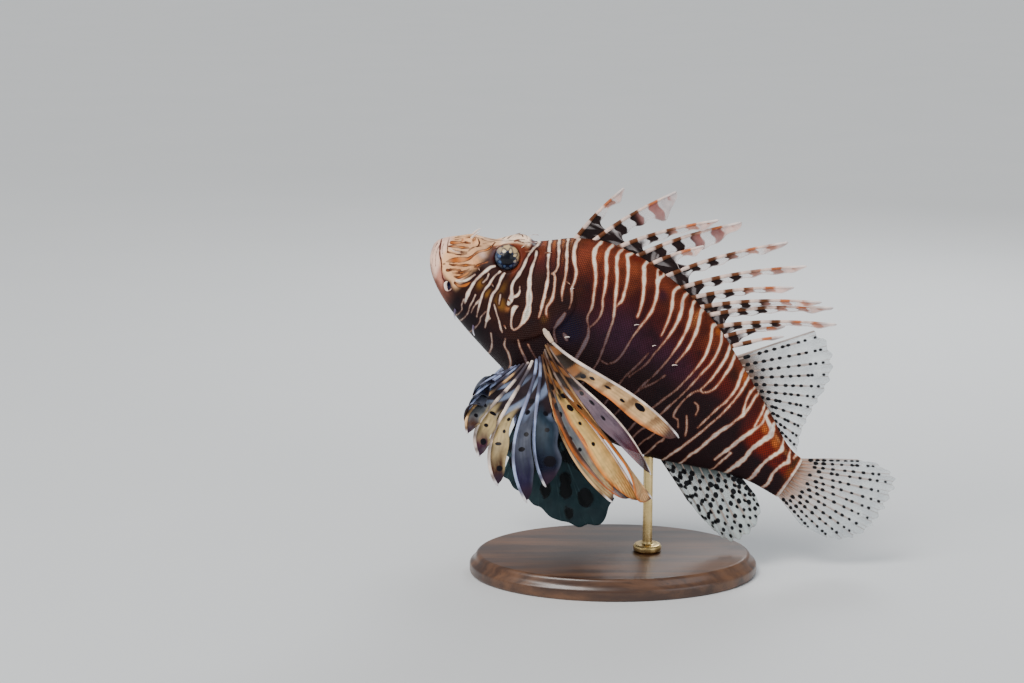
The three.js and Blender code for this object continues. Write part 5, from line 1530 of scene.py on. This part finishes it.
# The fish
clear = fin_finish("clear_membrane", (0.42, 0.31, 0.26), (0.005, 0.005, 0.007))
vanes = fin_finish("breast_vanes", (0.88, 0.78, 0.66), (0.004, 0.003, 0.006), ray_solid=1.0)
dark_fan = fin_finish("dark_hip_membrane", (0.035, 0.070, 0.080), (0.002, 0.003, 0.004), ray_solid=1.0,
                      blurred=0.8, ragged=2.6)
spine_membrane = fin_finish("banded_spines", (0.85, 0.7, 0.6), (0.02, 0.012, 0.01))
skin_piece()
spiny_back_fin(spine_membrane)
soft_back_fin(clear)
anal_fin(clear)
tail_fin(clear)
glossy = eye_finish()
for side, word in ((-1, "left"), (1, "right")):
    hip_fin(side, word, dark_fan)
    breast_fin(side, f"rear_vanes_{word}", range(0, SPLIT_RAY), vanes, f"breast_fin_rear_{word}")
    breast_fin(side, f"front_vanes_{word}", range(SPLIT_RAY, BREAST_RAYS), vanes, f"breast_fin_front_{word}")
    brow_feeler(side, word, spine_membrane)
    eye_ball(side, word, glossy)
stand()


# Floor, light and camera
def floor():
    bm = bmesh.new()
    bmesh.ops.create_grid(bm, x_segments=1, y_segments=1, size=30)
    mesh = bpy.data.meshes.new("pale_floor")
    bm.to_mesh(mesh)
    bm.free()
    ground = bpy.data.objects.new("pale_floor", mesh)
    bpy.context.scene.collection.objects.link(ground)
    plain = Finish("pale_floor_paint")
    speckle = plain.noise(6, 3)
    plain.put(plain.shader.inputs["Base Color"], plain.mix(speckle, (0.70, 0.72, 0.73), (0.74, 0.75, 0.76)))
    plain.shader.inputs["Roughness"].default_value = 0.8
    mesh.materials.append(plain.material)


def soft_light(name, place, target, size, power, colour=(1, 1, 1)):
    lamp = bpy.data.lights.new(name, "AREA")
    lamp.energy = power
    lamp.size = size
    lamp.color = colour
    holder = bpy.data.objects.new(name, lamp)
    holder.location = place
    holder.rotation_euler = (Vector(target) - Vector(place)).to_track_quat("-Z", "Y").to_euler()
    bpy.context.scene.collection.objects.link(holder)


def sky_key(name, place, strength, softness, colour):
    """A broad, even light, so that the floor has one tone right up to the horizon."""
    lamp = bpy.data.lights.new(name, "SUN")
    lamp.energy = strength
    lamp.angle = math.radians(softness)
    lamp.color = colour
    holder = bpy.data.objects.new(name, lamp)
    holder.rotation_euler = (-Vector(place)).to_track_quat("-Z", "Y").to_euler()
    bpy.context.scene.collection.objects.link(holder)


def camera():
    target = Vector(VIEW_TARGET) / 1000
    raised = Vector((0, -math.cos(VIEW_ELEVATION), math.sin(VIEW_ELEVATION)))
    lens = bpy.data.cameras.new("camera")
    lens.sensor_width = 36
    lens.lens = lens.sensor_width * VIEW_DISTANCE / PICTURE_WIDTH
    lens.clip_end = 100
    holder = bpy.data.objects.new("camera", lens)
    holder.location = target + raised * VIEW_DISTANCE / 1000
    holder.rotation_euler = (-raised).to_track_quat("-Z", "Y").to_euler()
    bpy.context.scene.collection.objects.link(holder)
    bpy.context.scene.camera = holder


floor()
sky_key("key_light", (-0.5, -0.62, 1.15), 2.1, 24, (1.0, 0.975, 0.94))
soft_light("side_light", (-0.75, -0.65, 0.75), (-0.02, 0, 0.13), 0.35, 3.2, (1.0, 0.98, 0.95))
soft_light("fill_light", (0.9, -0.9, 0.45), (0, 0, 0.13), 0.8, 3.0, (0.9, 0.95, 1.0))
soft_light("rim_light", (0.35, 0.9, 0.8), (0, 0, 0.15), 0.5, 6, (0.95, 0.98, 1.0))
world = bpy.data.worlds.new("studio")
world.use_nodes = True
wall = world.node_tree.nodes["Background"]
wall.inputs[0].default_value = (0.80, 0.84, 0.88, 1)
# the wall behind the floor is as pale as the floor, while the light it gives stays soft
seen = world.node_tree.nodes.new("ShaderNodeLightPath").outputs["Is Camera Ray"]
bright = world.node_tree.nodes.new("ShaderNodeMapRange")
bright.inputs["To Min"].default_value = 0.5
bright.inputs["To Max"].default_value = 0.74
world.node_tree.links.new(seen, bright.inputs["Value"])
world.node_tree.links.new(bright.outputs[0], wall.inputs["Strength"])
bpy.context.scene.world = world
camera()
